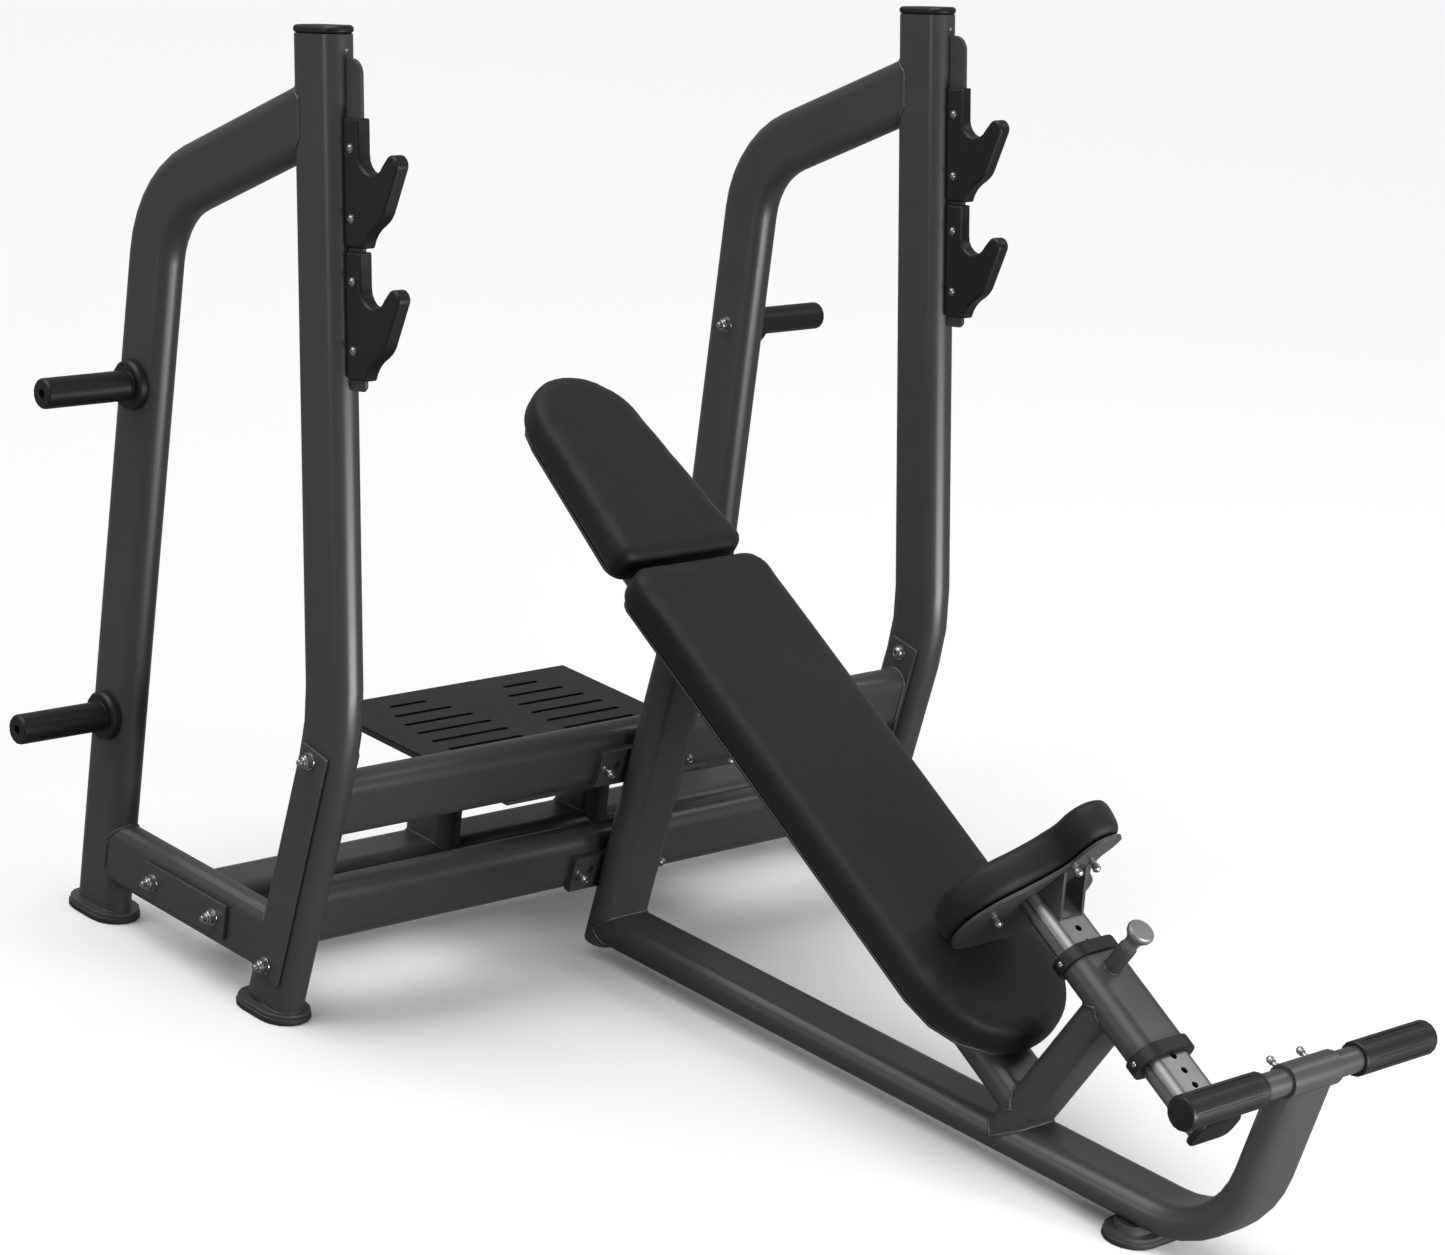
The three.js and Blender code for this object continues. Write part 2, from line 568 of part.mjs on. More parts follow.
function buildCrossFrame(rack) {
  const lean = new THREE.Group();
  lean.position.y = footY;
  lean.rotation.x = LOWER_LEAN;
  rack.add(lean);
  piece(lean, 'upper_cross_beam', crossBeam(UPPER_JOINT_UP - UPPER_BEAM_UP), paint(), 0, 0, UPPER_BEAM_UP);
  piece(lean, 'lower_cross_beam', crossBeam(LOWER_JOINT_UP - LOWER_BEAM_UP), paint(), 0, 0, LOWER_BEAM_UP);
  piece(rack, 'rear_cross_beam', rearBeam(), paint(), 0, REAR_BEAM_Y, REAR_BEAM_Z);
  ['left', 'right'].forEach((name, i) => {
    piece(rack, `${name}_platform_post`, platformPost(), paint(), (2 * i - 1) * POST_X, REAR_BEAM_Y);
  });
  piece(rack, 'platform_rails', platformRails(), paint(), 0, 0, postTopZ + GAP + PLATFORM_TUBE / 2);
  piece(rack, 'platform_deck', platformDeck(), plastic(), 0, platformFrontY, PLATFORM_TOP_Z - PLATFORM_THICK);
}

// ---------- bench lines ----------
const slopeY = (along, rise) => along * Math.cos(SLOPE) - rise * Math.sin(SLOPE);
const slopeZ = (along, rise) => along * Math.sin(SLOPE) + rise * Math.cos(SLOPE);
const slopePoint = (along, rise) => [slopeY(along, rise), slopeZ(along, rise)];
const benchTube = (wall, grow = 0) => tubeShape(TUBE_LONG + grow, TUBE_THIN + grow, wall);
const PLATE_STACK = 2 * PLATE + 3 * GAP;
const postOffset = (TUBE_THIN + PLATE_STACK) / Math.cos(LOWER_LEAN);
const rearPostY = (z) => uprightFoot(z) - postOffset;
const rearPostLine = [REAR_POST_FOOT, REAR_POST_TOP].map((z) => [rearPostY(z), z]);
const riserY = (z) => RISER_CORNER_Y - (z - RAIL_Z) * Math.tan(RISER_LEAN);
const railLine = [[rearPostY(RAIL_Z), RAIL_Z], [RISER_CORNER_Y, RAIL_Z], [riserY(FOOTREST_Z), FOOTREST_Z]];
const seatPostLine = [SEAT_POST_FOOT, SLEEVE_RISE].map((rise) => slopePoint(SEAT_POST_ALONG, rise));
const backBeamLine = [SEAT_POST_ALONG, BACK_BEAM_TOP].map((along) => slopePoint(along, BACK_BEAM_RISE));
const sleeveLine = [SLEEVE_BOTTOM, SLEEVE_TOP].map((along) => slopePoint(along, SLEEVE_RISE));

const railRoom = () => sweep(benchTube(0, 2 * GAP), railLine, RISER_BEND_RADIUS);

// ---------- bench pieces ----------

function rearPost() {
  const backBeamRoom = sweep(benchTube(0, 2 * GAP), backBeamLine);
  const above = block(ROOM, ROOM, ROOM).translate(0, 0, ROOM / 2).rotateX(SLOPE)
    .translate(0, ...slopePoint(0, BACK_BEAM_RISE));
  return cut(sweep(benchTube(TUBE_WALL), rearPostLine), backBeamRoom, above);
}

function mainRail() {
  const postRoom = sweep(benchTube(0, 2 * GAP), rearPostLine);
  const behind = block(ROOM, ROOM, ROOM).translate(0, rearPostY(RAIL_Z) + ROOM / 2, RAIL_Z);
  const barRoom = barX(roundShape(BAR_SLEEVE_RADIUS + GAP), -ROOM, ROOM).translate(0, FOOTREST_Y, FOOTREST_Z);
  const tube = cut(sweep(benchTube(TUBE_WALL), railLine, RISER_BEND_RADIUS), postRoom, behind, barRoom);
  const stubLine = [LEG_BOTTOM_Z - 1, RAIL_Z - TUBE_THIN / 2 + 1].map((z) => [BENCH_FOOT_Y, z]);
  const stub = sweep(benchTube(0), stubLine);
  return join(tube, stub, moved(footPlate(true), 0, BENCH_FOOT_Y, FOOT_RUBBER + GAP));
}

function backBeam() {
  const postRoom = sweep(benchTube(0, 2 * GAP), seatPostLine);
  const beyond = block(ROOM, ROOM, ROOM).translate(0, -ROOM / 2, 0).rotateX(SLOPE)
    .translate(0, ...slopePoint(SEAT_POST_ALONG, BACK_BEAM_RISE));
  return cut(sweep(benchTube(TUBE_WALL), backBeamLine), postRoom, beyond);
}

function seatPost() {
  const below = block(ROOM, ROOM, ROOM).translate(0, seatPostLine[0][0], RAIL_Z - ROOM / 2);
  const sleeveRoom = sweep(benchTube(0, 2 * GAP), sleeveLine);
  return cut(sweep(benchTube(TUBE_WALL), seatPostLine), railRoom(), below, sleeveRoom);
}

/** A stuffed pad with rounded edges. */
const pad = (shape, thickness) => plate(shape, thickness, PAD_ROUNDING, PAD_STEPS, PAD_BEVELS);

/** Outline of a long pad in (x, along), square at the top with round corners and half-round at the bottom. */
function backrestShape(inset) {
  const half = BACKREST_HALF - inset;
  const corner = BACKREST_CORNER - inset;
  const top = BACKREST_TOP - inset;
  const shape = new THREE.Shape();
  shape.absarc(half - corner, top - corner, corner, 0, Math.PI / 2, false);
  shape.absarc(-half + corner, top - corner, corner, Math.PI / 2, Math.PI, false);
  shape.absarc(0, BACKREST_BOTTOM + BACKREST_HALF, half, Math.PI, Math.PI * 2, false);
  return shape;
}

/** Outline of the head pad: wide square lower end, tapering to a half-round top. */
function headrestShape(inset) {
  const wide = HEADREST_WIDE - inset;
  const narrow = HEADREST_NARROW - inset;
  const corner = HEADREST_CORNER;
  const bottom = HEADREST_BOTTOM + inset;
  const shape = new THREE.Shape();
  shape.absarc(-wide + corner, bottom + corner, corner, Math.PI, Math.PI * 1.5, false);
  shape.absarc(wide - corner, bottom + corner, corner, Math.PI * 1.5, Math.PI * 2, false);
  shape.absarc(0, HEADREST_TOP - HEADREST_NARROW, narrow, 0.05, Math.PI - 0.05, false);
  return shape;
}

/** Plastic collar over one end of the sleeve, with the guide hole of the sliding tube. */
function sleeveCollar(outward) {
  const body = plate(ovalShape(TUBE_LONG + COLLAR_GROW, TUBE_THIN + COLLAR_GROW), COLLAR);
  const tubeRoom = plate(ovalShape(TUBE_LONG + 2 * GAP, TUBE_THIN + 2 * GAP), COLLAR);
  const slideRoom = moved(plate(slideShape(2 * FIT), 3 * COLLAR, 0, SLIDE_STEPS), 0, 0, -COLLAR);
  const ring = cut(body, moved(tubeRoom, 0, 0, -COLLAR_LIP), slideRoom);
  return ring.translate(0, 0, -(COLLAR - COLLAR_LIP - GAP)).rotateX(-outward * Math.PI / 2);
}

/** Outline of the sliding tube, flat on top and below with round sides. */
function slideShape(grow) {
  return roundedShape(SLIDE_WIDE + grow, SLIDE_HIGH + grow, SLIDE_CORNER + grow / 2);
}

/** Sliding seat tube: two grooves in each side and a row of adjustment holes in its top. */
function seatSlide() {
  const spare = 8;
  const length = SLIDE_TOP + spare - SLIDE_BOTTOM;
  const outline = slideShape(0);
  const bore = roundedShape(SLIDE_WIDE - 2 * SLIDE_WALL, SLIDE_HIGH - 2 * GROOVE, 2 * GROOVE, THREE.Path);
  outline.holes.push(bore);
  const tube = plate(outline, length, 0, SLIDE_STEPS).rotateX(-Math.PI / 2).translate(0, SLIDE_BOTTOM, 0);
  const middle = (SLIDE_TOP + SLIDE_BOTTOM) / 2;
  const groove = (side, rise) => block(GROOVE, length + 2, GROOVE)
    .translate(side * (SLIDE_WIDE / 2 - 1), middle, rise);
  const grooves = [-1, 1].flatMap((side) => [-1.5 * GROOVE, 1.5 * GROOVE].map((rise) => groove(side, rise)));
  const holes = [];
  for (let along = PIN_ALONG + 3 * HOLE_PITCH; along > SLIDE_BOTTOM + 2 * HOLE_PITCH; along -= HOLE_PITCH) {
    holes.push(rod(HOLE_RADIUS, SLIDE_HIGH, 8).translate(0, along, 5));
  }
  const boardRoom = block(ROOM, ROOM, ROOM).translate(0, 0, ROOM / 2 + SEAT_LIFT - GAP).rotateX(-SEAT_TILT)
    .translate(0, SLIDE_TOP, 0);
  return cut(tube, ...grooves, ...holes, boardRoom);
}

function sleeveTube() {
  const tube = plate(benchTube(TUBE_WALL), SLEEVE_TOP - SLEEVE_BOTTOM).rotateX(-Math.PI / 2)
    .translate(0, SLEEVE_BOTTOM, 0);
  return cut(tube, rod(HOLE_RADIUS + GAP, TUBE_THIN).translate(0, PIN_ALONG, 0));
}

/** Welded barrel that guides the pull pin, a tube standing on the sleeve. */
const pinBarrel = () => turned([
  [PIN_RADIUS + FIT, 0], [BARREL_RADIUS, 0], [BARREL_RADIUS, BARREL_HEIGHT - 1],
  [BARREL_RADIUS - 1, BARREL_HEIGHT], [PIN_RADIUS + FIT, BARREL_HEIGHT], [PIN_RADIUS + FIT, 0],
]);

/** Pull pin: shaft in the barrel and a mushroom knob on top; its tip rests just above the sliding tube. */
function pullPin() {
  const tip = -(TUBE_THIN - SLIDE_HIGH) / 2 + FIT;
  const knob = BARREL_HEIGHT + FIT;
  return turned([
    [0, tip], [PIN_RADIUS - 1, tip], [PIN_RADIUS, tip + 1], [PIN_RADIUS, knob], [11, knob], [11, knob + 10],
    [13, knob + 16], [KNOB_RADIUS - 1, knob + 25], [KNOB_RADIUS, knob + 28], [KNOB_RADIUS, knob + 32],
    [KNOB_RADIUS - 2, knob + 35], [0, knob + 36],
  ]);
}

/** Saddle outline in (x, y) with the nose towards -y, grown outward by an edge allowance. */
function saddleShape(grow) {
  const ring = [...SADDLE_HALF, ...SADDLE_HALF.slice(1, -1).reverse().map(([x, y]) => [-x, y])];
  const corners = ring.map(([x, y]) => new THREE.Vector3(x, y, 0));
  const loop = new THREE.CatmullRomCurve3(corners, true, 'centripetal');
  const points = [];
  for (let i = 0; i < SADDLE_STEPS; i += 1) {
    const point = loop.getPointAt(i / SADDLE_STEPS);
    const tangent = loop.getTangentAt(i / SADDLE_STEPS);
    points.push(new THREE.Vector2(point.x - tangent.y * grow, point.y + tangent.x * grow));
  }
  return new THREE.Shape(points);
}

/** Welded bracket on top of the sliding tube: two gussets up to the seat board, on a base strip. */
function seatBracket() {
  const thick = 5;
  const apart = 44;
  const outline = [[0, 0], [-BRACKET_TALL * Math.tan(BOARD_LEAN), BRACKET_TALL], [-BRACKET_REACH, 0]];
  const wings = [-apart / 2, apart / 2].map((x) => standingPlate(polygon(outline), thick).translate(x, 0, 0));
  const base = block(apart + thick, BRACKET_REACH - 4, 3).translate(0, -BRACKET_REACH / 2, 1.5);
  return join(...wings, base);
}

function buildBench(bench) {
  piece(bench, 'bench_rear_post', rearPost(), paint());
  const lean = new THREE.Group();
  lean.position.y = footY;
  lean.rotation.x = LOWER_LEAN;
  bench.add(lean);
  const jointY = -(TUBE_THIN / 2 + PLATE * 1.5 + GAP);
  const jointPlate = () => {
    const base = block(2 * JOINT_HALF, PLATE, JOINT_HIGH);
    const key = () => rod(KEYHOLE.radius, 4 * PLATE).rotateX(Math.PI / 2).translate(0, 2 * PLATE, KEYHOLE.up);
    return cut(base, key().translate(-KEYHOLE.x, 0, 0), key().translate(KEYHOLE.x, 0, 0));
  };
  piece(lean, 'bench_upper_joint_plate', jointPlate(), paint(), 0, jointY, UPPER_JOINT_UP);
  piece(lean, 'bench_lower_joint_plate', jointPlate(), paint(), 0, jointY, LOWER_JOINT_UP);
  piece(bench, 'bench_main_rail', mainRail(), paint());
  piece(bench, 'bench_back_beam', backBeam(), paint());
  piece(bench, 'bench_seat_post', seatPost(), paint());
  piece(bench, 'bench_rubber_foot', rubberFoot(true), rubber(), 0, BENCH_FOOT_Y);
  piece(bench, 'footrest_sleeve', footrestSleeve(), paint(), 0, FOOTREST_Y, FOOTREST_Z);
  piece(bench, 'footrest_bar', footrestBar(), paint(), 0, FOOTREST_Y, FOOTREST_Z);
  piece(bench, 'left_footrest_grip', footrestGrip(-1), plastic(), 0, FOOTREST_Y, FOOTREST_Z);
  piece(bench, 'right_footrest_grip', footrestGrip(1), plastic(), 0, FOOTREST_Y, FOOTREST_Z);

  const slope = new THREE.Group();
  slope.rotation.x = SLOPE;
  bench.add(slope);
  Object.entries({ backrest: backrestShape, headrest: headrestShape }).forEach(([name, outline]) => {
    const boardRise = PAD_BOTTOM_RISE - BOARD - GAP;
    const thickness = PAD_TOP_RISE - PAD_BOTTOM_RISE;
    piece(slope, `${name}_board`, plate(outline(BOARD_INSET), BOARD), paint(), 0, 0, boardRise);
    piece(slope, `${name}_pad`, pad(outline(0), thickness), vinyl(), 0, 0, PAD_BOTTOM_RISE);
  });
  piece(slope, 'seat_sleeve', sleeveTube(), paint(), 0, 0, SLEEVE_RISE);
  piece(slope, 'upper_sleeve_collar', sleeveCollar(1), plastic(), 0, SLEEVE_TOP, SLEEVE_RISE);
  piece(slope, 'lower_sleeve_collar', sleeveCollar(-1), plastic(), 0, SLEEVE_BOTTOM, SLEEVE_RISE);
  const barrelRise = SLEEVE_RISE + TUBE_THIN / 2 + GAP;
  piece(slope, 'pin_barrel', pinBarrel(), paint(), 0, PIN_ALONG, barrelRise);
  piece(slope, 'pull_pin', pullPin(), steel(), 0, PIN_ALONG, barrelRise);
  piece(slope, 'seat_slide', seatSlide(), alloy(), 0, 0, SLEEVE_RISE);
  piece(slope, 'slide_end_cap', slideEndCap(), plastic(), 0, SLIDE_BOTTOM, SLEEVE_RISE);
  const slideTopRise = SLIDE_HIGH / 2 + GAP;
  const bracketAlong = SLIDE_TOP - slideTopRise * Math.tan(BOARD_LEAN);
  piece(slope, 'seat_bracket', seatBracket(), paint(), 0, bracketAlong, SLEEVE_RISE + slideTopRise);

  const seat = new THREE.Group();
  seat.position.set(0, SLIDE_TOP, SLEEVE_RISE);
  seat.rotation.x = -SEAT_TILT;
  slope.add(seat);
  const padRise = SEAT_LIFT + SEAT_BOARD + GAP;
  piece(seat, 'seat_board', plate(saddleShape(0), SEAT_BOARD), paint(), 0, 0, SEAT_LIFT);
  piece(seat, 'seat_pad', pad(saddleShape(SEAT_OVERHANG), SEAT_THICK), vinyl(), 0, 0, padRise);
}

/** Stop cap closing the lower end of the sliding tube. */
function slideEndCap() {
  const outline = roundedShape(SLIDE_WIDE + CAP_GROW, SLIDE_HIGH + CAP_GROW, 16);
  return plate(outline, 10, 2, SLIDE_STEPS).rotateX(Math.PI / 2).translate(0, -GAP, 0);
}

/** Welded cross tube at the top of the riser, which the footrest bar runs through. */
function footrestSleeve() {
  const shape = roundShape(BAR_SLEEVE_RADIUS);
  shape.holes.push(roundShape(BAR_RADIUS + GAP, THREE.Path));
  return barX(shape, -BAR_SLEEVE_HALF, BAR_SLEEVE_HALF);
}

function footrestBar() {
  const shape = roundShape(BAR_RADIUS);
  shape.holes.push(roundShape(BAR_RADIUS - TUBE_WALL, THREE.Path));
  return barX(shape, -GRIP_END + 8, GRIP_END - 8);
}

/** Round grip with a closed rounded end and flutes along its length. */
function footrestGrip(side) {
  const bore = BAR_RADIUS + GAP;
  const end = GRIP_END;
  const length = end - GRIP_START - 40;
  const middle = side * (GRIP_START + end) / 2;
  const body = turned([
    [bore, GRIP_START], [GRIP_RADIUS - 2, GRIP_START], [GRIP_RADIUS, GRIP_START + 2],
    [GRIP_RADIUS, end - 6], [GRIP_RADIUS - 2, end - 2], [GRIP_RADIUS - 6, end], [0, end],
    [0, end - 7], [bore, end - 7], [bore, GRIP_START],
  ]).rotateY(side * Math.PI / 2);
  const flutes = [];
  for (let i = 0; i < FLUTES; i += 1) {
    const turn = (i / FLUTES) * Math.PI * 2;
    flutes.push(block(length, FLUTE, FLUTE).translate(middle, 0, GRIP_RADIUS).rotateX(turn));
  }
  return cut(body, ...flutes);
}

// ---------- assembly ----------
const bench = new THREE.Group();
const frontY = FOOTREST_Y - GRIP_RADIUS;
const rearY = REAR_LEG_Y + FOOT_LONG / 2 + 2;
bench.position.y = -(frontY + rearY) / 2; // origin on the floor under the middle of the whole object
buildRackSide(bench, 'left', -1);
buildRackSide(bench, 'right', 1);
buildCrossFrame(bench);
buildBench(bench);

export default bench;
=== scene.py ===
"""Finished looks of an incline olympic bench press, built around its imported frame.

Every size is in metres, in the frame's own axes: +X to the right of a person who faces the rack,
+Y to the rear, +Z up. Each operator dresses one group of pieces; main() runs them in order.
"""
import json
import math

import bmesh
import bpy
import numpy as np
from bpy.props import FloatProperty, FloatVectorProperty, IntProperty, PointerProperty
from bpy.types import Operator, Panel, PropertyGroup
from mathutils import Matrix, Vector
from mathutils.bvhtree import BVHTree

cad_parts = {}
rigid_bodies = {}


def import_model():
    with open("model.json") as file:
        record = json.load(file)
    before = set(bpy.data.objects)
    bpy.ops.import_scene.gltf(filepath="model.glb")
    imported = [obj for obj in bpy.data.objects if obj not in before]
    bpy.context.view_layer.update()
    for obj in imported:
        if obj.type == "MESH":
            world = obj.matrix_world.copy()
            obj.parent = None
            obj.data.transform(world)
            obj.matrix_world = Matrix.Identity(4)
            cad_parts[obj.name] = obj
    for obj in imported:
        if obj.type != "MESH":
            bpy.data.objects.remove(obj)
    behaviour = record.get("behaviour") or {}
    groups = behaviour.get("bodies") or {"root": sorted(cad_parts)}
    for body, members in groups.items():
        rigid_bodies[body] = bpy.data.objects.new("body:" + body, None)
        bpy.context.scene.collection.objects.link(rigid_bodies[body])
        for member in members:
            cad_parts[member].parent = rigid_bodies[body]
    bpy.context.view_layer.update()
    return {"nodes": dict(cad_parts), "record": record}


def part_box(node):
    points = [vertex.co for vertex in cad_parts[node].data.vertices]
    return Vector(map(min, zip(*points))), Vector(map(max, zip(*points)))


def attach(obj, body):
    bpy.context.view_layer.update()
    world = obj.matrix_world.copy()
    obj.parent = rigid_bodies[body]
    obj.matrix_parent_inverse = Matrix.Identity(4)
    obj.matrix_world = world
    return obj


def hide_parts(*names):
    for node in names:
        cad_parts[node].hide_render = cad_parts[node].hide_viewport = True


bl_info = {
    "name": "Incline bench press finish",
    "version": (1, 0, 0),
    "blender": (4, 5, 0),
    "location": "View3D > Sidebar > Bench press",
    "description": "Paint, upholstery, welds and fasteners for a packed incline bench press",
    "category": "Object",
}

for spare in list(bpy.data.objects):
    bpy.data.objects.remove(spare)
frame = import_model()

X_AXIS = Vector((1, 0, 0))
SIDES = {"left": -1, "right": 1}
UPPER_LEAN = math.radians(10)  # upright above its knee
LOWER_LEAN = math.radians(9.5)  # upright below its knee
SLOPE = math.radians(30)  # backrest, sleeve and sliding tube
SEAT_TURN = math.radians(-49)  # seat board about X
KNEE_HEIGHT = 0.460
TUBE_HALF_LONG = 0.050
TUBE_HALF_THIN = 0.025
TUBE_GAP = 0.0003  # between pieces that meet at a weld
PLATE = 0.006

HOOK_BOLT_UPS = (0.5408, 0.6358, 0.7217, 0.8173)  # from the upright's knee
HOOK_BOLT_FORWARD = 0.0690
HOOK_HALF_WIDTH = 0.0115
CAP_SCREW_UP = 0.948
CAP_SCREW_SINK = 0.0004
FOOT_BOLT_UPS = (0.079, 0.417)  # from the floor, along the upright's foot
FOOT_BOLT_BACK = 0.005
SIDE_BOLT_BACKS = (-0.071, 0.077)  # from the middle of the side joint plate
SIDE_BOLT_PLAY = 0.0012
HORN_SCREW_SINK = 0.012
BENCH_SCREW_ACROSS = 0.080
COLLAR_HALF_WIDTH = 0.0548
FOOTREST_SLEEVE_RADIUS = 0.0236
FOOTREST_SCREW_TILT = math.radians(25)
FOOTREST_SCREWS = {"left": -0.038, "right": 0.024}
SEAT_SCREWS = ((-0.070, 0.031), (0.070, 0.031), (-0.018, -0.097), (0.018, -0.097))
SEAT_SCREW_SHIFT = 0.016  # towards the seat's nose
SEAT_BOARD_HALF = 0.0025
FLOOR_REACH = 40.0


def middle(node):
    """Centre of a node's box."""
    low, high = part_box(node)
    return (low + high) / 2


def tilted(angle):
    """Unit vectors of a frame turned about X: its own y and z."""
    return Vector((0, math.cos(angle), math.sin(angle))), Vector((0, -math.sin(angle), math.cos(angle)))


RISE = tilted(SLOPE)[1]
UP_FOOT_BACK, UP_FOOT = tilted(LOWER_LEAN)
UPRIGHT_BACK, UPRIGHT_UP = tilted(-UPPER_LEAN)
BOARD_Y, BOARD_Z = tilted(SEAT_TURN)


# ---------- settings ----------

class FinishSettings(PropertyGroup):
    """Colours and edge sizes of the hard pieces."""

    paint_colour: FloatVectorProperty(
        name="Frame paint", description="Powder coat of the frame tubes", subtype="COLOR",
        size=3, min=0, max=1, default=(0.035, 0.0355, 0.037))
    plastic_colour: FloatVectorProperty(
        name="Black plastic", description="Hooks, caps, horns, grips and collars", subtype="COLOR",
        size=3, min=0, max=1, default=(0.0050, 0.0052, 0.0054))
    rubber_colour: FloatVectorProperty(
        name="Foot rubber", description="Moulded rubber feet", subtype="COLOR",
        size=3, min=0, max=1, default=(0.007, 0.007, 0.007))
    deck_colour: FloatVectorProperty(
        name="Platform coat", description="Coat of the platform deck", subtype="COLOR",
        size=3, min=0, max=1, default=(0.0052, 0.0052, 0.0054))
    alloy_colour: FloatVectorProperty(
        name="Polished alloy", description="Sliding seat tube", subtype="COLOR",
        size=3, min=0, max=1, default=(0.27, 0.275, 0.28))
    zinc_colour: FloatVectorProperty(
        name="Zinc plate", description="Nuts, bolts and screws", subtype="COLOR",
        size=3, min=0, max=1, default=(0.38, 0.385, 0.39))
    edge_radius: FloatProperty(
        name="Edge radius", description="Rounding of cut steel and moulded edges", unit="LENGTH",
        min=0.0001, max=0.005, default=0.0011)


class PadSettings(PropertyGroup):
    """Upholstery of the three pads."""

    vinyl_colour: FloatVectorProperty(
        name="Vinyl", description="Upholstery vinyl", subtype="COLOR",
        size=3, min=0, max=1, default=(0.0070, 0.0077, 0.0075))
    cell: FloatProperty(
        name="Cloth cell", description="Size of the simulated cloth's squares", unit="LENGTH",
        min=0.003, max=0.02, default=0.005)
    inset: FloatProperty(
        name="Inset", description="How far the cloth starts inside the pad", unit="LENGTH",
        min=0, max=0.02, default=0.0016)
    swell: FloatProperty(
        name="Swell", description="Furthest that the stuffing pushes the cloth out", unit="LENGTH",
        min=0, max=0.03, default=0.0034)
    pressure: FloatProperty(
        name="Pressure", description="Stuffing pressure inside the cloth", min=0, max=20, default=4)
    steps: IntProperty(
        name="Steps", description="Simulated frames", min=2, max=60, default=20)


class WeldSettings(PropertyGroup):
    """Weld beads where tubes meet."""

    bead_radius: FloatProperty(
        name="Bead radius", description="Mean radius of a weld bead", unit="LENGTH",
        min=0.0005, max=0.01, default=0.0026)
    ripple_pitch: FloatProperty(
        name="Ripple pitch", description="Distance between the bead's ripples", unit="LENGTH",
        min=0.001, max=0.02, default=0.0042)


class StageSettings(PropertyGroup):
    """Camera and studio."""

    azimuth: FloatProperty(
        name="Azimuth", description="Camera's turn about the vertical", subtype="ANGLE",
        default=math.radians(-45.574))
    elevation: FloatProperty(
        name="Elevation", description="Camera's look downwards", subtype="ANGLE",
        default=math.radians(17.426))
    roll: FloatProperty(
        name="Roll", description="Camera's turn about its own axis", subtype="ANGLE",
        default=math.radians(7.251))
    place: FloatVectorProperty(
        name="Camera place", description="Where the camera stands", subtype="TRANSLATION",
        unit="LENGTH", size=3, default=(-4.1121, -3.7918, 2.3852))
    lens: FloatProperty(
        name="Lens", description="Focal length on a 36 mm sensor", unit="CAMERA",
        min=10, max=400, default=101.93)
    floor_colour: FloatVectorProperty(
        name="Floor", description="Plain pale floor", subtype="COLOR",
        size=3, min=0, max=1, default=(0.90, 0.90, 0.905))
    surround: FloatProperty(
        name="Surround", description="Light from the room around the object", min=0, max=5, default=0.34)
    ceiling: FloatProperty(
        name="Ceiling", description="Soft light from above", min=0, max=20, default=2.4)
    bounce: FloatProperty(
        name="Bounce", description="How much light the floor sends back to the object",
        min=0, max=1, default=0.26)


# ---------- shader building ----------

def put(tree, kind, settings=None, **inputs):
    """A shader node with its settings and its inputs, each a value or another node's output."""
    node = tree.nodes.new(kind)
    for key, value in (settings or {}).items():
        setattr(node, key, value)
    for key, value in inputs.items():
        socket = node.inputs[int(key[1:])] if key[0] == "_" else node.inputs[key.replace("_", " ")]
        if isinstance(value, bpy.types.NodeSocket):
            tree.links.new(value, socket)
        else:
            socket.default_value = value
    return node


def start_group(name, inputs, outputs):
    """An empty shader group with named float inputs and outputs: its tree, input node and output node."""
    tree = bpy.data.node_groups.new(name, "ShaderNodeTree")
    for label, default in inputs.items():
        socket = tree.interface.new_socket(name=label, in_out="INPUT", socket_type="NodeSocketFloat")
        socket.default_value = default
    for label in outputs:
        tree.interface.new_socket(name=label, in_out="OUTPUT", socket_type="NodeSocketFloat")
    return tree, tree.nodes.new("NodeGroupInput"), tree.nodes.new("NodeGroupOutput")


def object_place(tree):
    """The point on the object, in its own space."""
    return tree.nodes.new("ShaderNodeTexCoord").outputs["Object"]


def scaled(tree, value, low, high):
    """A 0-1 value spread over a range."""
    return put(tree, "ShaderNodeMapRange", None, Value=value, To_Min=low, To_Max=high).outputs["Result"]


def build_coat_texture():
    """Orange peel of a powder coat, with broad soft changes of tone."""
    tree, entry, end = start_group("coat_texture", {"Scale": 900.0}, ["Height", "Tone"])
    place = object_place(tree)
    peel = put(tree, "ShaderNodeTexNoise", None, Vector=place, Scale=entry.outputs["Scale"],
               Detail=2.0, Roughness=0.55)
    cloud = put(tree, "ShaderNodeTexNoise", None, Vector=place, Scale=9.0, Detail=4.0, Roughness=0.6)
    tree.links.new(peel.outputs["Fac"], end.inputs["Height"])
    tree.links.new(cloud.outputs["Fac"], end.inputs["Tone"])
    return tree


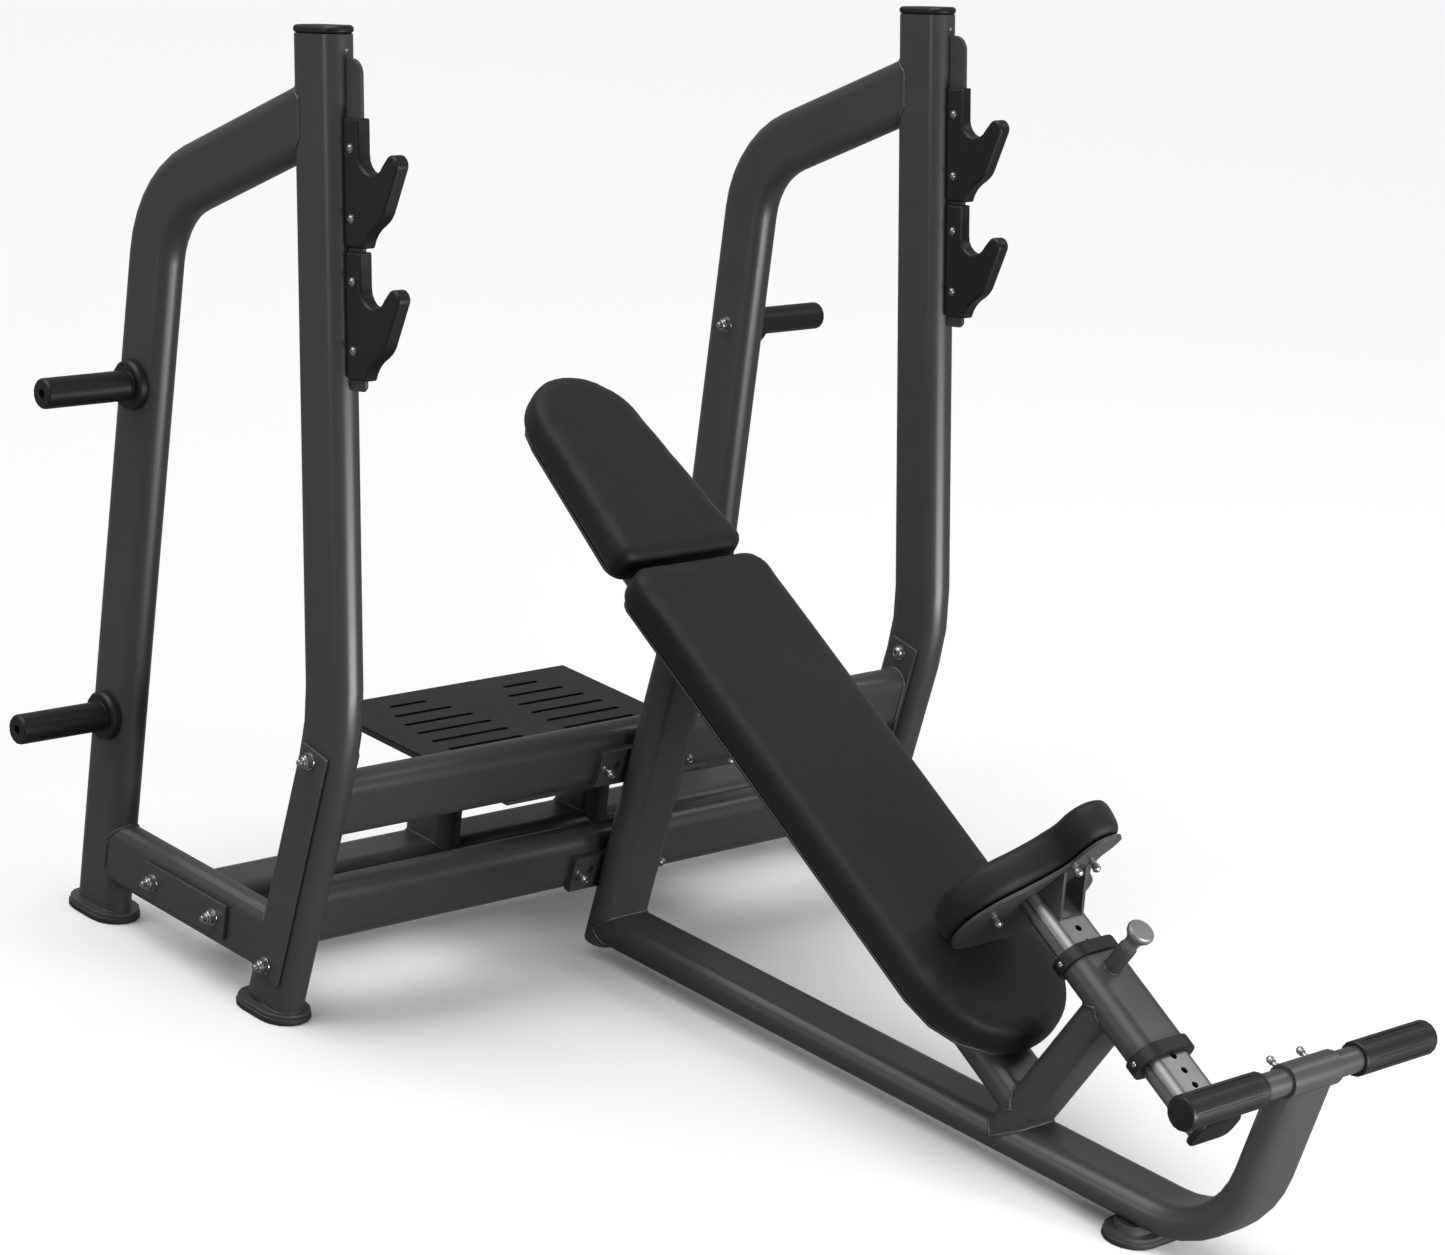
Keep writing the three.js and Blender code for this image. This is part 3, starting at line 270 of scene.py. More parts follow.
def build_painted_edge_highlight():
    """A mask along outer edges, broken up by noise, for a painted highlight that lightens the edges."""
    tree, entry, end = start_group("painted_edge_highlight", {"Radius": 0.003, "Amount": 1.0, "Breakup": 160.0}, ["Mask"])
    rounded = put(tree, "ShaderNodeBevel", {"samples": 4}, Radius=entry.outputs["Radius"])
    plain = tree.nodes.new("ShaderNodeNewGeometry")
    facing = put(tree, "ShaderNodeVectorMath", {"operation": "DOT_PRODUCT"},
                 _0=rounded.outputs["Normal"], _1=plain.outputs["Normal"])
    edge = put(tree, "ShaderNodeMapRange", None, Value=facing.outputs["Value"],
               From_Min=0.995, From_Max=0.90, To_Min=0.0, To_Max=1.0)
    breakup_noise = put(tree, "ShaderNodeTexNoise", None, Vector=object_place(tree),
                Scale=entry.outputs["Breakup"], Detail=5.0)
    patch = put(tree, "ShaderNodeMapRange", None, Value=breakup_noise.outputs["Fac"], From_Min=0.42, From_Max=0.66)
    both = put(tree, "ShaderNodeMath", {"operation": "MULTIPLY"},
               _0=edge.outputs["Result"], _1=patch.outputs["Result"])
    out = put(tree, "ShaderNodeMath", {"operation": "MULTIPLY", "use_clamp": True},
              _0=both.outputs["Value"], _1=entry.outputs["Amount"])
    tree.links.new(out.outputs["Value"], end.inputs["Mask"])
    return tree


def build_settled_dust():
    """A thin patchy film on faces that look up."""
    tree, entry, end = start_group("settled_dust", {"Amount": 0.3}, ["Mask"])
    geometry = tree.nodes.new("ShaderNodeNewGeometry")
    normal = put(tree, "ShaderNodeSeparateXYZ", None, Vector=geometry.outputs["Normal"])
    level = put(tree, "ShaderNodeMapRange", None, Value=normal.outputs["Z"], From_Min=0.55, From_Max=1.0)
    patch = put(tree, "ShaderNodeTexNoise", None, Vector=object_place(tree),
                Scale=14.0, Detail=8.0, Roughness=0.7)
    film = put(tree, "ShaderNodeMath", {"operation": "MULTIPLY"},
               _0=level.outputs["Result"], _1=patch.outputs["Fac"])
    out = put(tree, "ShaderNodeMath", {"operation": "MULTIPLY", "use_clamp": True},
              _0=film.outputs["Value"], _1=entry.outputs["Amount"])
    tree.links.new(out.outputs["Value"], end.inputs["Mask"])
    return tree


def build_hide_grain():
    """Embossed leather grain: small rounded cells between fine creases, and slow changes of tone."""
    tree, entry, end = start_group("hide_grain", {"Scale": 620.0}, ["Height", "Tone"])
    place = object_place(tree)
    warp = put(tree, "ShaderNodeTexNoise", None, Vector=place, Scale=180.0, Detail=2.0)
    bent = put(tree, "ShaderNodeVectorMath", {"operation": "MULTIPLY_ADD"},
               _0=warp.outputs["Color"], _1=(0.0035, 0.0035, 0.0035), _2=place)
    cells = put(tree, "ShaderNodeTexVoronoi", {"feature": "DISTANCE_TO_EDGE"},
                Vector=bent.outputs["Vector"], Scale=entry.outputs["Scale"])
    dome = put(tree, "ShaderNodeMapRange", {"interpolation_type": "SMOOTHSTEP"},
               Value=cells.outputs["Distance"], From_Min=0.0, From_Max=0.22)
    cloud = put(tree, "ShaderNodeTexNoise", None, Vector=place, Scale=7.0, Detail=5.0, Roughness=0.6)
    tree.links.new(dome.outputs["Result"], end.inputs["Height"])
    tree.links.new(cloud.outputs["Fac"], end.inputs["Tone"])
    return tree


def build_draw_lines():
    """Fine lines along the slope, as an extrusion die leaves them."""
    tree, entry, end = start_group("draw_lines", {"Scale": 1.0}, ["Height", "Tone"])
    turned = put(tree, "ShaderNodeMapping", {"vector_type": "POINT"}, Vector=object_place(tree),
                 Rotation=(-SLOPE, 0.0, 0.0))
    stretched = put(tree, "ShaderNodeVectorMath", {"operation": "MULTIPLY"},
                    _0=turned.outputs["Vector"], _1=(900.0, 6.0, 900.0))
    lines = put(tree, "ShaderNodeTexNoise", None, Vector=stretched.outputs["Vector"],
                Scale=entry.outputs["Scale"], Detail=3.0)
    broad = put(tree, "ShaderNodeTexNoise", None, Vector=object_place(tree), Scale=22.0, Detail=3.0)
    tree.links.new(lines.outputs["Fac"], end.inputs["Height"])
    tree.links.new(broad.outputs["Fac"], end.inputs["Tone"])
    return tree


GROUP_BUILDERS = {
    "coat_texture": build_coat_texture,
    "painted_edge_highlight": build_painted_edge_highlight,
    "settled_dust": build_settled_dust,
    "hide_grain": build_hide_grain,
    "draw_lines": build_draw_lines,
}


def use_group(tree, name, **inputs):
    """One of the shared groups placed in a material, built the first time it is asked for."""
    group = bpy.data.node_groups.get(name) or GROUP_BUILDERS[name]()
    return put(tree, "ShaderNodeGroup", {"node_tree": group}, **inputs)


def start_material(name):
    """A new node material: its tree and its Principled shader."""
    material = bpy.data.materials.new(name)
    material.use_nodes = True
    tree = material.node_tree
    return material, tree, tree.nodes["Principled BSDF"]


def mixed(tree, factor, first, second):
    """One colour turning into another by a factor."""
    mix = put(tree, "ShaderNodeMix", {"data_type": "RGBA"}, _0=factor)
    for socket, value in ((mix.inputs[6], first), (mix.inputs[7], second)):
        if isinstance(value, bpy.types.NodeSocket):
            tree.links.new(value, socket)
        else:
            socket.default_value = (*value, 1)
    return mix.outputs[2]


def shade(colour, factor):
    """A colour made lighter or darker."""
    return tuple(min(1.0, part * factor) for part in colour)


def bumped(tree, height, depth, strength=1.0):
    """A normal from a height, in metres."""
    bump = put(tree, "ShaderNodeBump", None, Strength=strength, Distance=depth, Height=height)
    return bump.outputs["Normal"]


def coated(name, colour, roughness, peel_scale, peel_depth, edge_highlight_amount=0.35, dust=0.10, coat=0.0, specular=0.5):
    """A coated or moulded surface: texture, tone, a painted highlight along the edges and a film of dust."""
    material, tree, shader = start_material(name)
    texture = use_group(tree, "coat_texture", Scale=peel_scale)
    edge = use_group(tree, "painted_edge_highlight", Radius=0.0022, Amount=edge_highlight_amount)
    film = use_group(tree, "settled_dust", Amount=dust)
    base = mixed(tree, texture.outputs["Tone"], shade(colour, 0.86), shade(colour, 1.16))
    # painted highlight: outer edges are made 2.4 times lighter, in patches broken up by noise
    edge_highlighted = mixed(tree, edge.outputs["Mask"], base, shade(colour, 2.4))
    dusty = mixed(tree, film.outputs["Mask"], edge_highlighted, (0.30, 0.29, 0.28))
    tree.links.new(dusty, shader.inputs["Base Color"])
    spread = scaled(tree, texture.outputs["Tone"], roughness - 0.05, roughness + 0.07)
    rough = put(tree, "ShaderNodeMath", {"operation": "MULTIPLY_ADD", "use_clamp": True},
                _0=film.outputs["Mask"], _1=0.4, _2=spread)
    tree.links.new(rough.outputs["Value"], shader.inputs["Roughness"])
    tree.links.new(bumped(tree, texture.outputs["Height"], peel_depth), shader.inputs["Normal"])
    shader.inputs["Specular IOR Level"].default_value = specular
    shader.inputs["Coat Weight"].default_value = coat
    shader.inputs["Coat Roughness"].default_value = 0.22
    return material


def metal(name, colour, roughness, texture_name, texture_scale, depth):
    """A bare metal surface with fine marks."""
    material, tree, shader = start_material(name)
    texture = use_group(tree, texture_name, Scale=texture_scale)
    base = mixed(tree, texture.outputs["Tone"], shade(colour, 0.82), shade(colour, 1.12))
    tree.links.new(base, shader.inputs["Base Color"])
    spread = scaled(tree, texture.outputs["Height"], roughness * 0.75, roughness * 1.3)
    tree.links.new(spread, shader.inputs["Roughness"])
    tree.links.new(bumped(tree, texture.outputs["Height"], depth), shader.inputs["Normal"])
    shader.inputs["Metallic"].default_value = 1.0
    return material


def vinyl(name, colour):
    """Upholstery vinyl: fine grain, a soft sheen and painted shade in the grain's creases."""
    material, tree, shader = start_material(name)
    grain = use_group(tree, "hide_grain", Scale=620.0)
    film = use_group(tree, "settled_dust", Amount=0.05)
    tone = mixed(tree, grain.outputs["Tone"], shade(colour, 0.88), shade(colour, 1.14))
    # painted shade: the grain's creases are darkened to 0.55 of the vinyl colour
    grain_crease_shaded = mixed(tree, grain.outputs["Height"], shade(colour, 0.55), tone)
    dusty = mixed(tree, film.outputs["Mask"], grain_crease_shaded, (0.25, 0.25, 0.24))
    tree.links.new(dusty, shader.inputs["Base Color"])
    tree.links.new(scaled(tree, grain.outputs["Tone"], 0.46, 0.58), shader.inputs["Roughness"])
    tree.links.new(bumped(tree, grain.outputs["Height"], 0.00012, 0.7), shader.inputs["Normal"])
    shader.inputs["Specular IOR Level"].default_value = 0.26
    shader.inputs["Sheen Weight"].default_value = 0.05
    shader.inputs["Sheen Roughness"].default_value = 0.45
    return material


def make_materials(finish, pads):
    """Every finish of the object, by name."""
    return {
        # the edge amount of each finish sets its painted edge highlight
        "grey_paint": coated("grey_paint", finish.paint_colour, 0.36, 1100.0, 0.00003,
                             edge_highlight_amount=0.30, dust=0.05, coat=0.10),
        "black_plastic": coated("black_plastic", finish.plastic_colour, 0.42, 1700.0, 0.00004,
                                edge_highlight_amount=0.25, dust=0.02, specular=0.36),
        "black_rubber": coated("black_rubber", finish.rubber_colour, 0.62, 1500.0, 0.00008,
                               edge_highlight_amount=0.1, dust=0.16),
        "black_deck": coated("black_deck", finish.deck_colour, 0.44, 1300.0, 0.00005,
                             edge_highlight_amount=0.35, dust=0.02, specular=0.34),
        "black_vinyl": vinyl("black_vinyl", pads.vinyl_colour),
        "silver_alloy": metal("silver_alloy", finish.alloy_colour, 0.38, "draw_lines", 1.0, 0.000015),
        "bar_steel": metal("bar_steel", shade(finish.zinc_colour, 0.75), 0.5, "coat_texture", 800.0, 0.00002),
        "zinc": metal("zinc", finish.zinc_colour, 0.30, "coat_texture", 1400.0, 0.00002),
    }


MATERIALS = {}


# ---------- mesh building ----------

def show(name, mesh, material, body="frame"):
    """A finished mesh as a piece of the object."""
    mesh.polygons.foreach_set("use_smooth", [True] * len(mesh.polygons))
    mesh.materials.clear()
    mesh.materials.append(MATERIALS[material])
    piece = bpy.data.objects.new(name, mesh)
    bpy.context.scene.collection.objects.link(piece)
    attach(piece, body)
    return piece


def mesh_from(name, work):
    """A bmesh written out as a mesh."""
    mesh = bpy.data.meshes.new(name)
    bmesh.ops.recalc_face_normals(work, faces=work.faces)
    work.to_mesh(mesh)
    work.free()
    return mesh


def lathe(profile, segments=32, sides=None):
    """A bmesh turned about Z from (radius, height) pairs; sides gives the outline of a hex or square."""
    work = bmesh.new()
    rings = []
    for radius, height in profile:
        if radius == 0:
            rings.append([work.verts.new((0, 0, height))])
            continue
        ring = []
        for i in range(segments):
            angle = 2 * math.pi * i / segments
            reach = radius
            if sides:
                wedge = math.pi / sides
                reach = radius / math.cos((angle % (2 * wedge)) - wedge)
            ring.append(work.verts.new((reach * math.cos(angle), reach * math.sin(angle), height)))
        rings.append(ring)
    for lower, upper in zip(rings, rings[1:]):
        for i in range(segments):
            j = (i + 1) % segments
            if len(lower) == 1 and len(upper) > 1:
                work.faces.new((lower[0], upper[i], upper[j]))
            elif len(upper) == 1 and len(lower) > 1:
                work.faces.new((lower[i], lower[j], upper[0]))
            elif len(lower) > 1:
                work.faces.new((lower[i], lower[j], upper[j], upper[i]))
    return work


def hex_body(across, low, high, chamfer, bore=0.0):
    """A hexagonal nut or head between two heights, with its corners chamfered by a cone."""
    flat = across / 2
    work = lathe([(bore, low), (flat * 0.94, low), (flat, low + chamfer), (flat, high - chamfer),
                  (flat * 0.94, high), (bore, high)], 36, 6)
    corner = flat / math.cos(math.pi / 6)
    for vert in work.verts:
        reach = math.hypot(vert.co.x, vert.co.y)
        limit = corner if low + chamfer * 0.5 < vert.co.z < high - chamfer * 0.5 else flat * 0.97
        if reach > limit:
            vert.co.x *= limit / reach
            vert.co.y *= limit / reach
    return work


def joined(name, *parts):
    """Several bmeshes as one mesh."""
    whole = bmesh.new()
    for part in parts:
        scratch = bpy.data.meshes.new("scratch")
        bmesh.ops.recalc_face_normals(part, faces=part.faces)
        part.to_mesh(scratch)
        part.free()
        whole.from_mesh(scratch)
        bpy.data.meshes.remove(scratch)
    return mesh_from(name, whole)


def lock_nut(name, across=0.019, stud=0.006):
    """Washer, lock nut with its insert collar, and the end of the bolt."""
    washer = lathe([(0.0045, 0), (across * 0.66, 0), (across * 0.68, 0.0006), (across * 0.66, 0.0018),
                    (0.0045, 0.0018)])
    nut = hex_body(across, 0.0018, 0.0105, 0.0012, 0.0045)
    collar = lathe([(0.0045, 0.0105), (across * 0.42, 0.0105), (across * 0.42, 0.0125),
                    (across * 0.38, 0.0138), (0.0052, 0.0138), (0.0045, 0.0125)])
    end = lathe([(0.0045, 0.002), (0.0049, 0.0045), (0.0049, 0.0138 + stud - 0.001), (0.0040, 0.0138 + stud),
                 (0, 0.0138 + stud)], 24)
    return joined(name, washer, nut, collar, end)


def socket_head(name, radius, height, socket, washer=True):
    """Button head screw with a hexagon socket, on a thin washer."""
    base = 0.0012 if washer else 0.0
    parts = []
    if washer:
        rim = radius * 1.35
        parts.append(lathe([(0, 0), (rim, 0), (radius * 1.37, 0.0004), (rim, base), (0, base)]))
    dome = [(0, base), (radius, base), (radius, base + height * 0.22)]
    steps = 6
    arc = math.radians(58)
    for i in range(1, steps + 1):
        angle = (i / steps) * arc
        dome.append((radius * (1 - 0.62 * (1 - math.cos(angle)) / (1 - math.cos(arc))),
                     base + height * (0.22 + 0.78 * math.sin(angle) / math.sin(arc))))
    dome[-1] = (socket * 1.12, dome[-1][1])
    recess = [(socket, base + height * 0.96), (socket, base + height * 0.38), (0, base + height * 0.30)]
    head = lathe([*dome, *recess], 36)
    for vert in head.verts:
        reach = math.hypot(vert.co.x, vert.co.y)
        if 0 < reach <= socket * 1.01 and vert.co.z < base + height * 0.97:
            angle = math.atan2(vert.co.y, vert.co.x) % (math.pi / 3)
            grow = math.cos(math.pi / 6) / math.cos(angle - math.pi / 6)
            vert.co.x *= grow
            vert.co.y *= grow
    parts.append(head)
    return joined(name, *parts)


def standing_screw(name, radius, length, shank):
    """Screw that stands proud: bare shank, collar and a round head with a socket."""
    foot = lathe([(0, 0), (radius * 0.92, 0), (radius * 0.98, 0.0008), (radius * 0.92, 0.0022),
                  (shank, 0.0024), (shank, length * 0.45), (0, length * 0.45)], 28)
    mesh = socket_head("scratch_head", radius, length * 0.34, radius * 0.45, washer=False)
    head = bmesh.new()
    head.from_mesh(mesh)
    bpy.data.meshes.remove(mesh)
    bmesh.ops.translate(head, verts=head.verts, vec=(0, 0, length * 0.66))
    neck = lathe([(0, length * 0.40), (radius * 0.86, length * 0.40), (radius * 0.92, length * 0.44),
                  (radius * 0.92, length * 0.64), (radius, length * 0.66), (0, length * 0.66)], 28)
    return joined(name, foot, neck, head)


def facing(direction):
    """Rotation that turns +Z to a direction."""
    return Vector(direction).to_track_quat("Z", "Y").to_matrix().to_4x4()


def fasten(name, mesh, place, direction, body="frame", material="zinc", turn=0.0):
    """A fastener set at a place, its head towards a direction."""
    piece = show(name, mesh.copy(), material, body)
    piece.data.name = name
    piece.data.transform(Matrix.Translation(place) @ facing(direction) @ Matrix.Rotation(turn, 4, "Z"))
    smooth_by_angle(piece.data, 30)
    return piece


def smooth_by_angle(mesh, degrees):
    """Marks the edges that turn more than an angle as sharp."""
    work = bmesh.new()
    work.from_mesh(mesh)
    limit = math.radians(degrees)
    for edge in work.edges:
        edge.smooth = len(edge.link_faces) == 2 and edge.calc_face_angle() < limit
    work.to_mesh(mesh)
    work.free()


def welded_copy(node):
    """A node's shape as a bmesh with shared corners."""
    work = bmesh.new()
    work.from_mesh(frame["nodes"][node].data)
    bmesh.ops.remove_doubles(work, verts=work.verts, dist=2e-5)
    return work


def refine(node, radius):
    """Rounds a node's cut edges and shades its curved faces smoothly, by modifiers only."""
    piece = frame["nodes"][node]
    piece.data.polygons.foreach_set("use_smooth", [True] * len(piece.data.polygons))
    weld = piece.modifiers.new("shared_corners", "WELD")
    weld.merge_threshold = 2e-5
    flats = piece.modifiers.new("whole_flats", "DECIMATE")
    flats.decimate_type = "DISSOLVE"
    flats.angle_limit = math.radians(0.6)
    edges = piece.modifiers.new("rounded_edges", "BEVEL")
    edges.width = radius
    edges.segments = 2
    edges.limit_method = "ANGLE"
    edges.angle_limit = math.radians(35)
    edges.use_clamp_overlap = True
    normals = piece.modifiers.new("face_normals", "WEIGHTED_NORMAL")
    normals.weight = 80
    return piece


# ---------- weld beads ----------

def sharp_loops(work, degrees=48):
    """Closed chains of the edges that turn more than an angle, as lists of points."""
    limit = math.radians(degrees)
    sharp = {edge for edge in work.edges if len(edge.link_faces) == 2 and edge.calc_face_angle() > limit}
    links = {}
    for edge in sharp:
        for vert in edge.verts:
            links.setdefault(vert, []).append(edge)
    loops = []
    unused = set(sharp)
    for start in sorted(sharp, key=lambda e: e.index):
        if start not in unused:
            continue
        unused.discard(start)
        chain = [start.verts[0], start.verts[1]]
        while chain[-1] is not chain[0]:
            onward = [e for e in links[chain[-1]] if e in unused]
            if not onward:
                break
            edge = min(onward, key=lambda e: e.index)
            unused.discard(edge)
            chain.append(edge.other_vert(chain[-1]))
        if chain[-1] is chain[0] and len(chain) > 8:
            loops.append([vert.co.copy() for vert in chain[:-1]])
    return loops


def perimeter(points):
    return sum((points[i] - points[i - 1]).length for i in range(len(points)))


def resampled(points, step):
    """A closed line as evenly spaced points."""
    whole = perimeter(points)
    count = max(12, round(whole / step))
    spacing = whole / count
    result, i, walked = [], 0, 0.0
    ends = points + [points[0]]
    for n in range(count):
        target = n * spacing
        while i < len(points) - 1 and walked + (ends[i + 1] - ends[i]).length < target:
            walked += (ends[i + 1] - ends[i]).length
            i += 1
        part = (target - walked) / max((ends[i + 1] - ends[i]).length, 1e-9)
        result.append(ends[i].lerp(ends[i + 1], min(part, 1.0)))
    return result


def bead_mesh(name, points, radius, pitch, phase):
    """A rippled bead along a closed line."""
    step = pitch / 4
    line = resampled(points, step)
    around = 7
    centre = sum(line, Vector()) / len(line)
    work = bmesh.new()
    rings = []
    for i, point in enumerate(line):
        tangent = (line[(i + 1) % len(line)] - line[i - 1]).normalized()
        outward = (point - centre).cross(tangent).normalized()
        side = tangent.cross(outward).normalized()
        wave = math.sin(2 * math.pi * i * step / pitch + phase)
        slow = math.sin(2 * math.pi * i / len(line) * 3 + phase * 2)
        size = radius * (1 + 0.10 * wave + 0.08 * slow)
        lean = tangent * (0.10 * radius * wave)
        rings.append([
            work.verts.new(point + lean + (outward * math.cos(a) + side * math.sin(a)) * size)
            for a in (2 * math.pi * k / around for k in range(around))
        ])
    for i, ring in enumerate(rings):
        after = rings[(i + 1) % len(rings)]
        for k in range(around):
            n = (k + 1) % around
            work.faces.new((ring[k], ring[n], after[n], after[k]))
    return mesh_from(name, work)


def outer_loops(node, neighbour, reach=0.0016):
    """The longest sharp loops of a node that lie on its neighbour's surface."""
    work = welded_copy(node)
    work.verts.index_update()
    work.edges.index_update()
    target = welded_copy(neighbour)
    surface = BVHTree.FromBMesh(target)
    near = []
    for points in sharp_loops(work):
        gaps = [surface.find_nearest(point)[3] for point in points]
        if max(gaps) < reach:
            near.append(points)
    work.free()
    target.free()
    near.sort(key=perimeter, reverse=True)
    kept = []
    for points in near:
        centre = sum(points, Vector()) / len(points)
        if all((centre - sum(other, Vector()) / len(other)).length > 0.02 for other in kept):
            kept.append(points)
    return kept


WELDS = [
    *[(f"{side}_{tube}", f"{side}_{other}") for side in SIDES
      for tube, other in (("side_beam", "upright"), ("side_beam", "rear_leg"), ("rear_leg", "upright"))],
    ("upper_cross_beam", "left_inner_joint_plate"),
    ("upper_cross_beam", "right_inner_joint_plate"),
    ("lower_cross_beam", "left_inner_joint_plate"),
    ("lower_cross_beam", "right_inner_joint_plate"),
    ("left_platform_post", "rear_cross_beam"),
    ("right_platform_post", "rear_cross_beam"),
    ("bench_main_rail", "bench_rear_post"),
    ("bench_main_rail", "footrest_sleeve"),
    ("bench_rear_post", "bench_back_beam"),
    ("bench_back_beam", "bench_seat_post"),
    ("bench_seat_post", "bench_main_rail"),
    ("bench_seat_post", "seat_sleeve"),
    ("pin_barrel", "seat_sleeve"),
]


# ---------- operators ----------

PADS = ("backrest_pad", "headrest_pad", "seat_pad")
NODE_FINISH = {row["node"]: row["material_slot"] for row in frame["record"]["subparts"]}


class BENCH_OT_materials(Operator):
    """Mix every finish."""

    bl_idname = "bench.materials"
    bl_label = "Mix finishes"

    def execute(self, context):
        scene = context.scene
        MATERIALS.update(make_materials(scene.bench_finish, scene.bench_pads))
        return {"FINISHED"}


class BENCH_OT_hard_pieces(Operator):
    """Round the edges of the frame's hard pieces and coat them."""

    bl_idname = "bench.hard_pieces"
    bl_label = "Finish hard pieces"

    def execute(self, context):
        radius = context.scene.bench_finish.edge_radius
        for node, piece in frame["nodes"].items():
            if node in PADS:
                continue
            finish = NODE_FINISH[node]
            refine(node, radius)
            piece.data.materials.clear()
            piece.data.materials.append(MATERIALS[finish])
        return {"FINISHED"}


def relaxed_pad(node, settings):
    """The cloth of a pad after its stuffing has pushed it out."""
    context = bpy.context
    work = welded_copy(node)
    bmesh.ops.recalc_face_normals(work, faces=work.faces)
    work.normal_update()
    for vert in work.verts:
        vert.co -= vert.normal * settings.inset * vert.calc_shell_factor()
    mesh = mesh_from(f"{node}_cloth", work)
    pad = bpy.data.objects.new(f"{node}_cloth", mesh)
    context.scene.collection.objects.link(pad)
    grid = pad.modifiers.new("grid", "REMESH")
    grid.mode = "VOXEL"
    grid.voxel_size = settings.cell
    apply_modifiers(pad)
    start = np.empty(len(pad.data.vertices) * 3)
    pad.data.vertices.foreach_get("co", start)
    start = start.reshape(-1, 3)
    stuffing = pad.modifiers.new("stuffing", "CLOTH")
    cloth = stuffing.settings
    cloth.quality = 5
    cloth.mass = 0.3
    cloth.tension_stiffness = 12
    cloth.compression_stiffness = 12
    cloth.bending_stiffness = 1.5
    cloth.use_pressure = True
    cloth.uniform_pressure_force = settings.pressure
    cloth.effector_weights.gravity = 0
    stuffing.collision_settings.use_collision = False
    for step in range(1, settings.steps + 1):
        context.scene.frame_set(step)
    shape = pad.evaluated_get(context.evaluated_depsgraph_get())
    end = np.empty(len(shape.data.vertices) * 3)
    shape.data.vertices.foreach_get("co", end)
    move = end.reshape(-1, 3) - start
    length = np.linalg.norm(move, axis=1, keepdims=True)
    move *= np.minimum(1.0, settings.swell / np.maximum(length, 1e-9))
    pad.modifiers.remove(stuffing)
    pad.data.vertices.foreach_set("co", (start + move).ravel())
    context.scene.frame_set(1)
    return pad


def apply_modifiers(piece):
    """Writes a piece's modifiers into its mesh."""
    shape = piece.evaluated_get(bpy.context.evaluated_depsgraph_get())
    old = piece.data
    piece.data = bpy.data.meshes.new_from_object(shape)
    piece.modifiers.clear()
    bpy.data.meshes.remove(old)


def press_flat(mesh, point, normal):
    """Keeps a pad's points on one side of the board that it is glued to."""
    for vert in mesh.vertices:
        depth = (vert.co - point).dot(normal)
        if depth < 0:
            vert.co -= normal * depth


class BENCH_OT_pads(Operator):
    """Stuff and cover the backrest, headrest and seat pads."""

    bl_idname = "bench.pads"
    bl_label = "Upholster pads"

    def execute(self, context):
        settings = context.scene.bench_pads
        boards = {"backrest_pad": RISE, "headrest_pad": RISE, "seat_pad": BOARD_Z}
        for node, normal in boards.items():
            pad = relaxed_pad(node, settings)
            base = min((v.co for v in frame["nodes"][node].data.vertices), key=lambda co: co.dot(normal))
            press_flat(pad.data, base.copy(), normal)
            smooth = pad.modifiers.new("even", "CORRECTIVE_SMOOTH")
            smooth.iterations = 6
            smooth.use_only_smooth = True
            finer = pad.modifiers.new("finer", "SUBSURF")
            finer.levels = finer.render_levels = 1
            apply_modifiers(pad)
            press_flat(pad.data, base.copy(), normal)
            pad.data.polygons.foreach_set("use_smooth", [True] * len(pad.data.polygons))
            pad.data.materials.clear()
            pad.data.materials.append(MATERIALS["black_vinyl"])
            pad.name = f"{node}_cover"
            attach(pad, "seat_carriage" if node == "seat_pad" else "frame")
            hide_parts(node)
        return {"FINISHED"}


class BENCH_OT_welds(Operator):
    """Run weld beads where tubes meet."""

    bl_idname = "bench.welds"
    bl_label = "Weld tubes"

    def execute(self, context):
        settings = context.scene.bench_welds
        for number, (node, neighbour) in enumerate(WELDS):
            for i, points in enumerate(outer_loops(node, neighbour)):
                name = f"weld_{node}_{neighbour}_{i}"
                small = 0.7 if node == "pin_barrel" else 1.0
                radius = settings.bead_radius * small
                mesh = bead_mesh(name, points, radius, settings.ripple_pitch, number * 1.7)
                show(name, mesh, "grey_paint")
        return {"FINISHED"}


def foot_place(side, back, up):
    """A point beside the leaning foot of an upright."""
    foot = middle(f"{side}_front_rubber_foot")
    return Vector((foot.x, foot.y, 0)) + UP_FOOT_BACK * back + UP_FOOT * up


def upright_place(side, forward, up):
    """A point beside the upright above its knee."""
    foot = middle(f"{side}_front_rubber_foot")
    knee = Vector((foot.x, foot.y - KNEE_HEIGHT * math.tan(LOWER_LEAN), KNEE_HEIGHT))
    return knee - UPRIGHT_BACK * forward + UPRIGHT_UP * up


